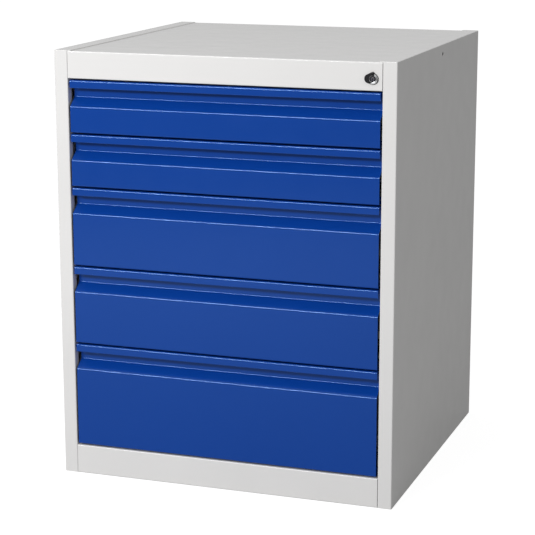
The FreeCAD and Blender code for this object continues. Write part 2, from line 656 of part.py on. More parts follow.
def lock_housing():
    """Bezel and barrel, bored for the plug, with the ear and rivet that the dust cover swings on."""
    body = lock_body("lock_housing")
    bore, mouth = "plug_radius + plug_fit", "plug_face_radius + plug_fit"
    outline = [(mouth, "-bezel_thickness"), ("bezel_radius", "-bezel_thickness"), ("bezel_radius", "0"),
               ("barrel_radius", "0"), ("barrel_radius", "barrel_length"), (bore, "barrel_length"),
               (bore, "-plug_fit"), (mouth, "-plug_fit")]
    revolve(body, "y", outline)
    extrude(body, "y", [("0", "pivot_rise", "pivot_ear")], "-bezel_thickness", "bezel_thickness")
    rivet = "bezel_thickness + cover_gauge + 2*cover_gap"
    extrude(body, "y", [ring("0", "pivot_rise", "pivot_radius", PIN)], f"-({rivet})", rivet)
    extrude(body, "y", [("0", "pivot_rise", "pivot_head_radius")], f"-({rivet}) - pivot_head", "pivot_head")


def lock_nut():
    """Hexagon nut behind the rail."""
    body = lock_body("lock_nut")
    bore = ring("0", "0", f"(barrel_radius + barrel_fit)/cos({180/NUT}deg)", NUT)
    extrude(body, "y", [ring("0", "0", "nut_radius", HEX), bore], "case_gauge", "nut_thickness")


def lock_plug():
    """Turning plug with its keyway, square tang and screw hole."""
    body = lock_body("lock_plug")
    face = "plug_recess - bezel_thickness"
    outline = [("0", face), ("plug_face_radius", face), ("plug_face_radius", "0"), ("plug_radius", "0"),
               ("plug_radius", "cam_depth"), ("0", "cam_depth")]
    revolve(body, "y", outline)
    extrude(body, "y", [rectangle("-tang/2", "-tang/2", "tang/2", "tang/2")], "cam_depth", "0.9*cam_gauge")
    cut(body, "y", [rectangle("-keyway_width/2", "-keyway_height/2", "keyway_width/2", "keyway_height/2")],
        face, "keyway_depth")
    cut(body, "y", [ring("0", "0", "cam_screw_radius + screw_fit", HEX)],
        "cam_depth + cam_gauge - cam_screw_length", "cam_screw_length")


def lock_cam():
    """Cam on the tang, with the pin that lifts the lock bar, pointing down at 45 degrees when unlocked."""
    body = lock_body("lock_cam", "45")
    extrude(body, "y", [("0", "0", "cam_hub_radius")], "cam_depth", "cam_gauge")
    extrude(body, "y", [("cam_throw", "0", "cam_arm_radius")], "cam_depth", "cam_gauge")
    arm = rectangle("0", "-cam_arm_radius", "cam_throw", "cam_arm_radius")
    extrude(body, "y", [arm], "cam_depth", "cam_gauge")
    pin = ring("cam_throw", "0", "cam_pin_radius", PIN)
    extrude(body, "y", [pin], "cam_depth + cam_gauge", "cam_pin_length")
    corner = "(tang/2 + tang_fit)*sqrt(2)"
    square = [(corner, "0"), ("0", corner), (f"-{corner}", "0"), ("0", f"-{corner}")]
    cut(body, "y", [square], "cam_depth - 1", "cam_gauge + 2")


def cam_screw():
    """Screw that holds the cam on the plug."""
    body = lock_body("cam_screw")
    seat_face = "cam_depth + cam_gauge"
    extrude(body, "y", [ring("0", "0", "cam_screw_radius", HEX)], f"{seat_face} - cam_screw_length + 1",
            "cam_screw_length - 1")
    extrude(body, "y", [ring("0", "0", "cam_screw_head_radius", HEX)], seat_face, "cam_screw_head")


def lock_cover():
    """Swivel dust cover, swung aside on its rivet."""
    body = new_body("lock_cover", "lock_across", "0", "lock_height + pivot_rise")
    body.setExpression("Placement.Rotation.Axis.x", "0")
    body.setExpression("Placement.Rotation.Axis.y", "1")
    body.setExpression("Placement.Rotation.Axis.z", "0")
    body.setExpression("Placement.Rotation.Angle", linked("cover_swing"))
    front = "-bezel_thickness - cover_gap - cover_gauge"
    extrude(body, "y", [("0", "-pivot_rise", "cover_radius")], front, "cover_gauge")
    extrude(body, "y", [("0", "0", "pivot_ear")], front, "cover_gauge")
    extrude(body, "y", [rectangle("-pivot_ear", "-pivot_rise", "pivot_ear", "0")], front, "cover_gauge")
    cut(body, "y", [("0", "0", "pivot_radius + pivot_fit")], f"{front} - 1", "cover_gauge + 2")


def lock_bar():
    """Bar beside the opening, with a tongue at its top whose slot takes the cam's pin."""
    body = new_body("lock_bar")
    foot, top = "runner_5_foot + pin_height - bar_tail", "yoke_rest + tongue_height/2"
    strip = rectangle("bar_across", "bar_front", "bar_across + bar_gauge", "bar_front + bar_width")
    extrude(body, "z", [strip], foot, f"{top} - ({foot})")
    tongue = rectangle("bar_across - tongue_reach + bar_gauge", "yoke_rest - tongue_height/2",
                       "bar_across", top)
    extrude(body, "y", [tongue], "bar_front", "bar_gauge")
    yoke = rectangle("bar_across - yoke_near - yoke_length + bar_gauge", "yoke_rest - yoke_height/2",
                     "bar_across - yoke_near + bar_gauge", "yoke_rest + yoke_height/2")
    cut(body, "y", [yoke], "bar_front - 1", "bar_gauge + 2")
    holes = [ring(*place, "pin_tail_radius + pin_tail_fit", PIN) for place in bar_pin_places()]
    cut(body, "x", holes, "bar_across - 1", "bar_gauge + 2")


def bar_pin_places():
    """Where the pins stand on the lock bar, one beside each drawer's catch lug."""
    return [("bar_front + pin_depth", f"runner_{drawer}_foot + pin_height") for drawer in DRAWERS]


def lock_bar_pins():
    """Shouldered pins riveted in the lock bar."""
    body = new_body("lock_bar_pins")
    places = bar_pin_places()
    steps = [("pin_radius", "pin_across", "pin_reach"), ("pin_tail_radius", "bar_across", "bar_gauge"),
             ("pin_rivet_radius", "bar_across + bar_gauge", "pin_rivet")]
    for radius, start, length in steps:
        extrude(body, "x", [ring(*place, radius, PIN) for place in places], start, length)


def lock_bar_guides():
    """Slotted angles on the side panel in which the lock bar slides."""
    body = new_body("lock_bar_guides")
    slot = rectangle("bar_across - guide_slack", "bar_front - guide_slack",
                     "bar_across + bar_gauge + guide_slack", "bar_front + bar_width + guide_slack")
    near, far = "bar_front - guide_margin", "bar_front + bar_width + guide_margin"
    plate = rectangle("bar_across - guide_slack - guide_wall", near, "inner_half", far)
    flange = rectangle("inner_half - guide_gauge", near, "inner_half", far)
    for drawer in GUIDED:
        level = f"runner_{drawer}_foot + guide_height"
        extrude(body, "z", [plate, slot], level, "guide_gauge")
        extrude(body, "z", [flange], level, "guide_foot")


def check_and_export():
    """Stop on any failed object or bad shape, then write one STEP file for each sub-part."""
    doc.recompute()
    for item in doc.Objects:
        if "Invalid" in item.State or "Error" in item.State:
            raise ValueError(f"{item.Label} failed: {item.State}")
    for label, item in nodes.items():
        if item.Shape.isNull() or not item.Shape.isValid() or not item.Shape.Solids:
            raise ValueError(f"{label} has no valid solid")
    os.makedirs("parts", exist_ok=True)
    for label, item in nodes.items():
        item.Shape.exportStep(f"parts/{label}.step")
        print(f"{label}: {len(item.Shape.Solids)} solid(s), {item.Shape.Volume/1000:.1f} cm3")
    print(f"{len(nodes)} sub-parts")


side_panels()
top_panel()
bottom_front_rail()
floor_panel()
back_panel()
posts()
for drawer in DRAWERS:
    cabinet_runners(drawer)
    drawer_runners(drawer)
    drawer_front(drawer)
    drawer_tray(drawer)
    catch_lug(drawer)
runner_screws()
lock_housing()
lock_nut()
lock_plug()
lock_cam()
cam_screw()
lock_cover()
lock_bar()
lock_bar_pins()
lock_bar_guides()
check_and_export()
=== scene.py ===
"""Looks of a lockable steel drawer cabinet: painted sheets, drawers on roller runners and a cylinder lock.

Sizes are in millimetres.  Depths are measured back from the front plane, and heights from the floor.
"""
import logging
from dataclasses import dataclass, field
from enum import Enum
from math import atan2, cos, pi, radians, sin, tan

import bmesh
import bpy
from bmesh.types import BMEdge, BMesh, BMFace, BMVert
from mathutils import Matrix, Vector


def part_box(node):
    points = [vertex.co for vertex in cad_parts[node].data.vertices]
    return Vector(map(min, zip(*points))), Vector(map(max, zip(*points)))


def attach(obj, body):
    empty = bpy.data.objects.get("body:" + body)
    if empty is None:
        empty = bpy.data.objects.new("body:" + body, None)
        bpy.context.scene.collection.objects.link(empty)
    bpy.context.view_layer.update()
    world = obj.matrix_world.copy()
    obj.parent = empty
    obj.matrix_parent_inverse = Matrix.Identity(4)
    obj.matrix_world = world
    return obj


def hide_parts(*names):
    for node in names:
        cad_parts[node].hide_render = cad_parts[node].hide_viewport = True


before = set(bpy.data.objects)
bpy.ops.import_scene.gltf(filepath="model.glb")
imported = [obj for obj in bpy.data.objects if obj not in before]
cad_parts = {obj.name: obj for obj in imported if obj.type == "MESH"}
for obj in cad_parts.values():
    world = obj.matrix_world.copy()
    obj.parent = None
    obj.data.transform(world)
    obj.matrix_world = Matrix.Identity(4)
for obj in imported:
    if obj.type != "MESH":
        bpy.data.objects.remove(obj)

MM = 0.001
NEAR = 1e-3                      # corners nearer than this are one
CLEAR = 1.0                      # how far a cutter stands out of what it cuts
FINE_RELIEF = 0.004 * MM         # height of peel, rolling marks and moulded or stoved skins
DRAWERS = range(1, 6)
LOCK_CENTRE = (281.3, 779.5)
FRONT_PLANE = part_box("drawer_front_1")[0].y / MM
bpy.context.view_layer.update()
Point = tuple[float, float]
Place = tuple[float, float, float]
Tree, Node, Socket = bpy.types.NodeTree, bpy.types.Node, bpy.types.NodeSocket
log = logging.getLogger("cabinet")


class Axis(Enum):
    """The way a section is drawn out, and the two ways that it is drawn across: places in a vector."""

    X = (0, 1, 2)
    Y = (1, 0, 2)
    Z = (2, 0, 1)

    def place(self, a: float, b: float, along: float) -> Vector:
        """The point that is a and b across and so far along."""
        spot = dict(zip(self.value, (along, a, b)))
        return Vector([spot[index] for index in range(3)])

    def frame(self, a: float, b: float, along: float) -> Matrix:
        """A matrix that stands a shape made on the z axis on this one."""
        columns = [self.place(1, 0, 0), self.place(0, 1, 0), self.place(0, 0, 1)]
        return Matrix.Translation(self.place(a, b, along)) @ Matrix(columns).transposed().to_4x4()


def rectangle(left: float, low: float, right: float, high: float) -> list[Point]:
    """The corners of a rectangle."""
    return [(left, low), (right, low), (right, high), (left, high)]


def node_box(node: str) -> list[Vector]:
    """A node's lowest and highest corner, with depths from the front plane."""
    return [corner / MM - Vector((0, FRONT_PLANE, 0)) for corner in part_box(node)]


def middle_of(node: str) -> Point:
    """Depth and height of a node's middle."""
    low, high = node_box(node)
    return ((low.y + high.y) / 2, (low.z + high.z) / 2)


def runner_foot(drawer: int) -> float:
    """Height of the underside of a drawer's runners."""
    return node_box(f"cabinet_runners_{drawer}")[0].z


def kept(items: list, kind: type) -> list:
    """Those of an operator's results that are of one kind."""
    return [item for item in items if isinstance(item, kind)]


def set_out(name: str, data: bpy.types.ID) -> bpy.types.Object:
    """Puts a mesh, lamp or lens in the scene.

    Args:
        name: what its object is called.
        data: the mesh, lamp or lens.

    Returns:
        The object.
    """
    made = bpy.data.objects.new(name, data)
    bpy.context.scene.collection.objects.link(made)
    return made


# Finishes

def linear(code: str) -> tuple[float, float, float, float]:
    """Turns an sRGB hex colour such as #204696 to a linear one."""
    parts = [int(code[start:start + 2], 16) / 255 for start in (1, 3, 5)]
    return (*[p / 12.92 if p <= 0.04045 else ((p + 0.055) / 1.055) ** 2.4 for p in parts], 1.0)


def empty_tree(owner: bpy.types.Material | bpy.types.World) -> Tree:
    """Gives a material or the world a node tree with nothing in it.

    Args:
        owner: the material or world.

    Returns:
        Its tree.
    """
    owner.use_nodes = True
    owner.node_tree.nodes.clear()
    return owner.node_tree


def feed(tree: Tree, node: Node, sockets: dict) -> None:
    """Sets or links the inputs of a node.

    Args:
        tree: the material's nodes.
        node: the one that is fed.
        sockets: what each input gets, an output socket or a plain value, by the input's name or number.
    """
    for key, value in sockets.items():
        if isinstance(value, Socket):
            tree.links.new(value, node.inputs[key])
        else:
            node.inputs[key].default_value = value


def add(tree: Tree, kind: str, sockets: dict, **settings: object) -> Node:
    """Adds a node, sets it and links what feeds it.

    Args:
        tree: the material's nodes.
        kind: the node's type, without its leading ShaderNode.
        sockets: what its inputs get.
        settings: the node's own properties.

    Returns:
        The node.
    """
    node = tree.nodes.new(f"ShaderNode{kind}")
    for name, value in settings.items():
        setattr(node, name, value)
    feed(tree, node, sockets)
    return node


def grain(tree: Tree, size_mm: float, detail: float = 2.0, stretch: Place = (1, 1, 1),
          shift: float = 0.0) -> Socket:
    """Soft noise whose features are about so many millimetres across.

    Args:
        tree: the material's nodes.
        size_mm: size of a feature.
        detail: octaves of finer noise in it.
        stretch: how much longer the features are along each axis.
        shift: moves the pattern, so that two of a size differ.

    Returns:
        The noise, from 0 to 1.
    """
    spot = add(tree, "TexCoord", {}).outputs["Object"]
    scale = [1 / (size_mm * MM * longer) for longer in stretch]
    placed = add(tree, "Mapping", {"Vector": spot, "Location": (shift,) * 3, "Scale": scale})
    return add(tree, "TexNoise", {"Vector": placed.outputs[0], "Scale": 1.0, "Detail": detail}).outputs["Fac"]


def patches(tree: Tree, size_mm: float, least: float, most: float, band: Point = (0.3, 0.7),
            detail: float = 4.0, shift: float = 0.0) -> Socket:
    """A value that changes from patch to patch.

    Args:
        tree: the material's nodes.
        size_mm: how far across a patch is.
        least: the lowest value.
        most: the highest value.
        band: the part of the noise that is spread over those values.
        detail: octaves of finer noise in it.
        shift: moves the pattern, so that two of a size differ.

    Returns:
        The value.
    """
    noise = grain(tree, size_mm, detail, shift=shift)
    return add(tree, "MapRange", {"Value": noise, "From Min": band[0], "From Max": band[1],
                                  "To Min": least, "To Max": most}).outputs[0]


def worn_and_highlit_edges(tree: Tree, shade: Socket | tuple, reach_mm: float, most: float, edge_colour: str) -> Socket:
    """A colour that turns to another near sharp edges, broken up in patches: wear on zinc plate and lacquer,
    and a painted highlight on powder coat.

    Args:
        tree: the material's nodes.
        shade: the colour on the flats.
        reach_mm: how far from an edge the colour changes.
        most: how much of the other colour shows on the edge, up to 1.
        edge_colour: the other colour.

    Returns:
        The colour with its paler edges.
    """
    flat = add(tree, "NewGeometry", {}).outputs["Normal"]
    softened = add(tree, "Bevel", {"Radius": reach_mm * MM}, samples=4).outputs["Normal"]
    along = add(tree, "VectorMath", {0: flat, 1: softened}, operation="DOT_PRODUCT").outputs["Value"]
    edge = add(tree, "MapRange", {"Value": along, "From Min": 0.75, "From Max": 0.995, "To Min": most,
                                  "To Max": 0.0}).outputs[0]
    broken = patches(tree, 6.0, 0.25, 1.0, band=(0.35, 0.65))
    pale_share = add(tree, "Math", {0: edge, 1: broken}, operation="MULTIPLY").outputs["Value"]
    # Edges turn paler here: wear on zinc and lacquer, a painted highlight on powder coat.
    return add(tree, "Mix", {0: pale_share, 6: shade, 7: linear(edge_colour)}, data_type="RGBA").outputs[2]


@dataclass(frozen=True)
class Finish:
    """A finish: its material's name, a slot name that is not used here, its colour and how rough it is."""

    name: str
    slot: str
    colour: str
    roughness: float

    def material(self) -> bpy.types.Material:
        """Makes the finish's material when it is first asked for.

        Returns:
            The material.
        """
        known = bpy.data.materials.get(self.name)
        if known is not None:
            return known
        made = bpy.data.materials.new(self.name)
        tree = empty_tree(made)
        shader = add(tree, "BsdfPrincipled", {"Base Color": linear(self.colour), "Roughness": self.roughness})
        add(tree, "OutputMaterial", {"Surface": shader.outputs["BSDF"]})
        feed(tree, shader, self.looks(tree))
        return made

    def looks(self, tree: Tree) -> dict:
        """What the shader's inputs get beyond a plain colour."""
        return {}


@dataclass(frozen=True)
class PowderCoat(Finish):
    """Polyester powder, sprayed and stoved on steel: semi-gloss, over a fine orange peel.

    The peel breaks up the reflection of a lamp.  Its edges are painted paler, a painted highlight, and the
    sheet under it is not quite flat, which bends what it reflects.
    """

    # colour of the powder's flecks, and of the painted highlight along the edges
    edge: str = "#FFFFFF"
    gloss: float = 0.5
    gloss_tint: str = "#FFFFFF"
    coat: float = 0.0
    fleck: float = 0.05
    wave_mm: float = 0.16

    def looks(self, tree: Tree) -> dict:
        """The orange peel, an uneven gloss and a painted highlight along the edges.

        Real peel is 1 to 2 mm across and a few microns high, and it is drawn at 2.4 mm so that it shows.  The
        powder's own grains of 0.05 mm are drawn at 0.7 mm, as faint flecks.

        Args:
            tree: the material's nodes.

        Returns:
            What the shader's inputs get.
        """
        plain = linear(self.colour)
        darker = tuple(0.94 * part for part in plain[:3]) + (1.0,)
        clouds = {0: grain(tree, 160.0, 3.0), 6: plain, 7: darker}
        shade = add(tree, "Mix", clouds, data_type="RGBA").outputs[2]
        flecks = {0: patches(tree, 0.7, 0.0, self.fleck, (0.45, 0.75), 2.0), 6: shade, 7: linear(self.edge)}
        shade = add(tree, "Mix", flecks, data_type="RGBA").outputs[2]
        peel = add(tree, "Bump", {"Height": grain(tree, 2.4), "Distance": FINE_RELIEF}).outputs[0]
        waves = {"Height": grain(tree, 140.0, 1.0, shift=7.0), "Distance": self.wave_mm * MM, "Normal": peel}
        # The base colour turns paler along the edges: a painted highlight.
        return {
            "Base Color": worn_and_highlit_edges(tree, shade, 0.8, 0.32, self.edge),
            "Roughness": patches(tree, 45.0, self.roughness - 0.02, self.roughness + 0.04, shift=3.0),
            "Normal": add(tree, "Bump", waves).outputs[0], "Coat Weight": self.coat, "Coat Roughness": 0.12,
            "Specular IOR Level": self.gloss, "Specular Tint": linear(self.gloss_tint)}


@dataclass(frozen=True)
class ZincPlate(Finish):
    """Bright zinc, plated on cold-rolled steel: grey, with the rolling marks showing along the strip.

    The marks stretch the highlights, and handling leaves dull patches in the passivation.
    """

    rolled: Place = (1.0, 40.0, 1.0)

    def looks(self, tree: Tree) -> dict:
        """Rolling marks, dull patches and bright edges.

        Real rolling marks are under 0.1 mm apart, and they are drawn at 0.5 mm so that they show.

        Args:
            tree: the material's nodes.

        Returns:
            What the shader's inputs get.
        """
        dull = {0: patches(tree, 22.0, 0.0, 0.35, detail=5.0), 6: linear(self.colour), 7: linear("#8F8F88")}
        shade = add(tree, "Mix", dull, data_type="RGBA").outputs[2]
        marks = add(tree, "Bump", {"Height": grain(tree, 0.5, 3.0, self.rolled), "Distance": FINE_RELIEF})
        return {
            "Metallic": 1.0, "Base Color": worn_and_highlit_edges(tree, shade, 0.5, 0.4, "#DCDDDE"),
            "Roughness": patches(tree, 9.0, self.roughness - 0.05, self.roughness + 0.12, shift=2.0),
            "Normal": marks.outputs[0]}


@dataclass(frozen=True)
class MouldedNylon(Finish):
    """Natural polyamide, injection moulded: ivory and a little translucent, with a satin skin."""

    def looks(self, tree: Tree) -> dict:
        """The soft light in it, a satin texture and grey dirt from running on steel.

        Args:
            tree: the material's nodes.

        Returns:
            What the shader's inputs get.
        """
        dirt = {0: patches(tree, 3.0, 0.0, 0.3, (0.5, 0.75)), 6: linear(self.colour), 7: linear("#B9B4A6")}
        skin = add(tree, "Bump", {"Height": grain(tree, 0.3), "Distance": FINE_RELIEF})
        return {
            "Subsurface Weight": 0.25, "Subsurface Radius": (0.0012, 0.001, 0.0008), "IOR": 1.53,
            "Base Color": add(tree, "Mix", dirt, data_type="RGBA").outputs[2], "Normal": skin.outputs[0]}


@dataclass(frozen=True)
class Chrome(Finish):
    """Bright chrome on a polished zinc die casting: a mirror with a few hairline scratches."""

    def looks(self, tree: Tree) -> dict:
        """Finger marks 4 mm across and hairline scratches, drawn 0.15 mm wide so that they show."""
        hairs = add(tree, "Bump", {"Height": grain(tree, 0.15, 2.0, (12, 1, 1)), "Distance": 0.0006 * MM})
        return {
            "Metallic": 1.0, "Roughness": patches(tree, 4.0, self.roughness, self.roughness + 0.1),
            "Normal": hairs.outputs[0]}


@dataclass(frozen=True)
class BlackLacquer(Finish):
    """Black stoved lacquer on a small pressed or turned part: satin, rubbed to grey along its edges."""

    gloss: float = 0.3

    def looks(self, tree: Tree) -> dict:
        """A fine grain of 0.25 mm and rubbed edges."""
        skin = add(tree, "Bump", {"Height": grain(tree, 0.25), "Distance": FINE_RELIEF})
        return {
            "Specular IOR Level": self.gloss,
            "Base Color": worn_and_highlit_edges(tree, linear(self.colour), 0.3, 0.35, "#77777A"),
            "Roughness": patches(tree, 2.0, self.roughness, self.roughness + 0.12), "Normal": skin.outputs[0]}


# Each powder coat's edge colour is a painted highlight along its edges: white on the case and trays, pale
# blue on the drawers.
CASE_PAINT = PowderCoat("powder_coat_light_grey", "case_paint", "#E8E7E6", 0.22, coat=0.2)
DRAWER_PAINT = PowderCoat("powder_coat_gentian_blue", "drawer_paint", "#083E98", 0.14, edge="#5C8CE6",
                          gloss=1.0, gloss_tint="#98C4FA", coat=0.12, fleck=0.03, wave_mm=0.04)
TRAY_PAINT = PowderCoat("powder_coat_tray_grey", "tray_paint", "#CDCECE", 0.42)
ZINC = ZincPlate("zinc_plate_on_rolled_strip", "zinc_steel", "#B6B8BA", 0.34)
ZINC_UPRIGHT = ZincPlate("zinc_plate_on_upright_bar", "zinc_steel", "#B6B8BA", 0.34, rolled=(1.0, 1.0, 40.0))
NYLON = MouldedNylon("natural_moulded_nylon", "roller_nylon", "#E8E5DA", 0.42)
CHROME = Chrome("bright_chrome_plate", "bezel_chrome", "#E2E3E4", 0.05)
PLUG_BLACK = BlackLacquer("black_oxide_on_brass", "plug_black", "#0E0E11", 0.30)
# The plug face is a lighter grey than the black plug: a painted sheen.
PLUG_SHEEN_GREY = BlackLacquer("grey_painted_sheen_on_plug_face", "plug_black", "#4C4B55", 0.26, gloss=0.5)
COVER_BLACK = BlackLacquer("black_stoved_lacquer", "cover_black", "#111114", 0.30)
WAFER = ZincPlate("rolled_nickel_silver", "plug_black", "#C2BEB0", 0.28)


# Making a piece

@dataclass
class Bench:
    """A piece on the bench: its mesh and what is to be cut out of it, in millimetres and depths."""

    mesh: BMesh = field(default_factory=bmesh.new)
    cutter: "Bench | None" = None

    def parts(self) -> list:
        """All the corners, edges and faces of the mesh."""
        return self.mesh.verts[:] + self.mesh.edges[:] + self.mesh.faces[:]

    def face_outwards(self) -> None:
        """Turns every face outwards."""
        bmesh.ops.recalc_face_normals(self.mesh, faces=self.mesh.faces[:])

    def round_off(self, edges: list[BMEdge], offset: float, segments: int = 4) -> None:
        """Rounds edges, from so far on each side of them."""
        bmesh.ops.bevel(self.mesh, geom=edges, offset=offset, offset_type="OFFSET", segments=segments,
                        profile=0.5, affect="EDGES", material=-1)

    def mirror(self, items: list) -> None:
        """Mirrors some of the mesh to the other side of the cabinet."""
        bmesh.ops.scale(self.mesh, vec=(-1, 1, 1), verts=kept(items, BMVert))
        bmesh.ops.reverse_faces(self.mesh, faces=kept(items, BMFace))

    def draw_out(self, axis: Axis, outline: list[Point], start: float, length: float) -> None:
        """Draws a closed outline out to a solid.

        Args:
            axis: the way it is drawn.
            outline: its corners, across that axis.
            start: where it begins along the axis.
            length: how far it goes.
        """
        face = self.mesh.faces.new([self.mesh.verts.new(axis.place(a, b, start)) for a, b in outline])
        grown = bmesh.ops.extrude_face_region(self.mesh, geom=[face], use_keep_orig=True)["geom"]
        bmesh.ops.translate(self.mesh, verts=kept(grown, BMVert), vec=axis.place(0, 0, length))
        self.face_outwards()

    def fold(self, axis: Axis, corners: list[Point], radius: float) -> None:
        """Rounds the straight edges that run along the axis through the given corners.

        Args:
            axis: the way the edges run.
            corners: where they are, across that axis.
            radius: of the fold.
        """
        along, first, second = axis.value
        for a, b in corners:
            found = [edge for edge in self.mesh.edges
                     if abs((edge.verts[1].co - edge.verts[0].co)[along]) > 0.999 * edge.calc_length()
                     and abs(edge.verts[0].co[first] - a) < NEAR and abs(edge.verts[0].co[second] - b) < NEAR]
            self.round_off(found, radius * tan(found[0].calc_face_angle() / 2), segments=6)

    def soften(self, height: float, middle: Point, radius: float) -> None:
        """Rounds an upright sheet's rim where its faces look away from a middle.

        Args:
            height: of the rim.
            middle: the point, seen from above, that they look away from.
            radius: of the rounding.
        """
        centre, rim = Vector((*middle, height)), []
        for edge in self.mesh.edges:
            if all(abs(corner.co.z - height) < NEAR for corner in edge.verts):
                upright = min(edge.link_faces, key=lambda face: abs(face.normal.z))
                if upright.normal.dot(edge.verts[0].co - centre) > 0:
                    rim.append(edge)
        self.round_off(rim, radius)

    def lathe(self, axis: Axis, centre: Point, outline: list[Point], steps: int) -> None:
        """Turns an outline into a round solid.

        Args:
            axis: what it turns about.
            centre: where that axis is, across itself.
            outline: pairs of radius and place along the axis; it closes on itself if it stays off the axis.
            steps: facets round it.
        """
        corners = [self.mesh.verts.new(axis.place(radius, 0, along)) for radius, along in outline]
        links = list(zip(corners, corners[1:]))
        if min(outline[0][0], outline[-1][0]) > 0:
            links.append((corners[-1], corners[0]))
        before = set(self.mesh.verts) - set(corners)
        bmesh.ops.spin(self.mesh, geom=corners + [self.mesh.edges.new(link) for link in links],
                       cent=(0, 0, 0), axis=axis.place(0, 0, 1), dvec=(0, 0, 0), angle=2 * pi, steps=steps,
                       use_merge=True, use_duplicate=False)
        fresh = [corner for corner in self.mesh.verts if corner not in before]
        bmesh.ops.translate(self.mesh, verts=fresh, vec=axis.place(*centre, 0))
        bmesh.ops.remove_doubles(self.mesh, verts=fresh, dist=NEAR)
        self.face_outwards()

    def rod(self, axis: Axis, centre: Point, radius: float, start: float, length: float,
            segments: int = 32) -> None:
        """Adds a round or many-sided rod."""
        bmesh.ops.create_cone(self.mesh, cap_ends=True, cap_tris=False, segments=segments, radius1=radius,
                              radius2=radius, depth=length, matrix=axis.frame(*centre, start + length / 2))
        self.face_outwards()

    def stretch_round(self, axis: Axis, discs: list[Place], start: float, length: float) -> None:
        """Adds a plate whose outline is stretched round discs.

        Args:
            axis: the way it is thick.
            discs: two numbers for the centre of each, across that axis, and its radius.
            start: where the plate begins along the axis.
            length: its thickness.
        """
        corners = []
        for a, b, radius in discs:
            for level in (start, start + length):
                corners += bmesh.ops.create_circle(self.mesh, cap_ends=False, radius=radius, segments=64,
                                                   matrix=axis.frame(a, b, level))["verts"]
        shell = bmesh.ops.convex_hull(self.mesh, input=corners)
        bmesh.ops.delete(self.mesh, geom=kept(shell["geom_interior"], BMVert), context="VERTS")
        bmesh.ops.dissolve_limit(
            self.mesh, angle_limit=radians(1), verts=self.mesh.verts[:], edges=self.mesh.edges[:])
        self.face_outwards()

    def cut(self, axis: Axis, outline: list[Point], face: float, depth: float, past: float = CLEAR) -> None:
        """Marks a straight-sided opening to be cut from a face, through and past it unless past is 0."""
        self.cutter = self.cutter or Bench()
        self.cutter.draw_out(axis, outline, face - CLEAR, depth + CLEAR + past)

    def drill(self, axis: Axis, centre: Point, radius: float, face: float, depth: float) -> None:
        """Marks a round hole to be cut from a face and through."""
        self.cutter = self.cutter or Bench()
        self.cutter.rod(axis, centre, radius, face - CLEAR, depth + 2 * CLEAR)

    def add_twin(self) -> None:
        """Adds the same again, mirrored to the other side of the cabinet."""
        for bench in filter(None, (self, self.cutter)):
            bench.mirror(bmesh.ops.duplicate(bench.mesh, geom=bench.parts())["geom"])

    def to_object(self, name: str) -> bpy.types.Object:
        """Puts the mesh in the cabinet's frame, in metres.

        Args:
            name: what the mesh and its object are called.

        Returns:
            The object.
        """
        bmesh.ops.scale(self.mesh, vec=(MM,) * 3, verts=self.mesh.verts[:])
        bmesh.ops.translate(self.mesh, vec=(0, FRONT_PLANE * MM, 0), verts=self.mesh.verts[:])
        mesh = bpy.data.meshes.new(name)
        self.mesh.to_mesh(mesh)
        self.mesh.free()
        return set_out(name, mesh)

    def carve(self, piece: bpy.types.Object) -> None:
        """Cuts the marked openings out of the piece.

        Args:
            piece: the object made of this bench's mesh.
        """
        tool = self.cutter.to_object(f"{piece.name}_cutter")
        cutting = piece.modifiers.new("cut", "BOOLEAN")
        cutting.object, cutting.operation, cutting.solver = tool, "DIFFERENCE", "EXACT"
        cutting.use_self = True
        bpy.context.view_layer.update()
        whole = piece.evaluated_get(bpy.context.evaluated_depsgraph_get())
        piece.data = bpy.data.meshes.new_from_object(whole)
        piece.data.name = piece.name
        piece.modifiers.clear()
        bpy.data.objects.remove(tool)

    def hand_over(self, name: str, body: str, finish: Finish, nodes: list[str], edge_mm: float = 0.2,
                  wall_mm: float = 0.0) -> None:
        """Finishes the piece and hangs it on the part of the frame that it moves with.

        Args:
            name: the piece's name.
            body: the body of the frame that it rides on.
            finish: its finish.
            nodes: the frame's nodes that it stands for.
            edge_mm: how far its cut edges are rounded.
            wall_mm: thickness that an open skin is given inwards.
        """
        piece = self.to_object(name)
        if self.cutter is not None:
            self.carve(piece)
        if wall_mm:
            wall = piece.modifiers.new("wall", "SOLIDIFY")
            wall.thickness, wall.offset, wall.use_even_offset = wall_mm * MM, -1.0, True
        if edge_mm:
            rounding = piece.modifiers.new("edges", "BEVEL")
            rounding.width, rounding.segments, rounding.limit_method = edge_mm * MM, 2, "ANGLE"
            rounding.angle_limit, rounding.use_clamp_overlap = radians(40), True
        even = piece.modifiers.new("normals", "WEIGHTED_NORMAL")
        even.keep_sharp, even.weight = True, 100
        for polygon in piece.data.polygons:
            polygon.use_smooth = True
        if not edge_mm:
            piece.data.set_sharp_from_angle(angle=radians(35))
        piece.data.materials.clear()
        piece.data.materials.append(finish.material())
        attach(piece, body)
        if nodes:
            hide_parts(*nodes)
        log.info("%s rides on %s in %s, for %s", name, body, finish.name, ", ".join(nodes) or "no node")


# The cabinet

class Side(Enum):
    """A side of the cabinet, as someone who faces it sees it."""

    RIGHT = "right"
    LEFT = "left"


class End(Enum):
    """An end of the runners."""

    FRONT = "front"
    REAR = "rear"


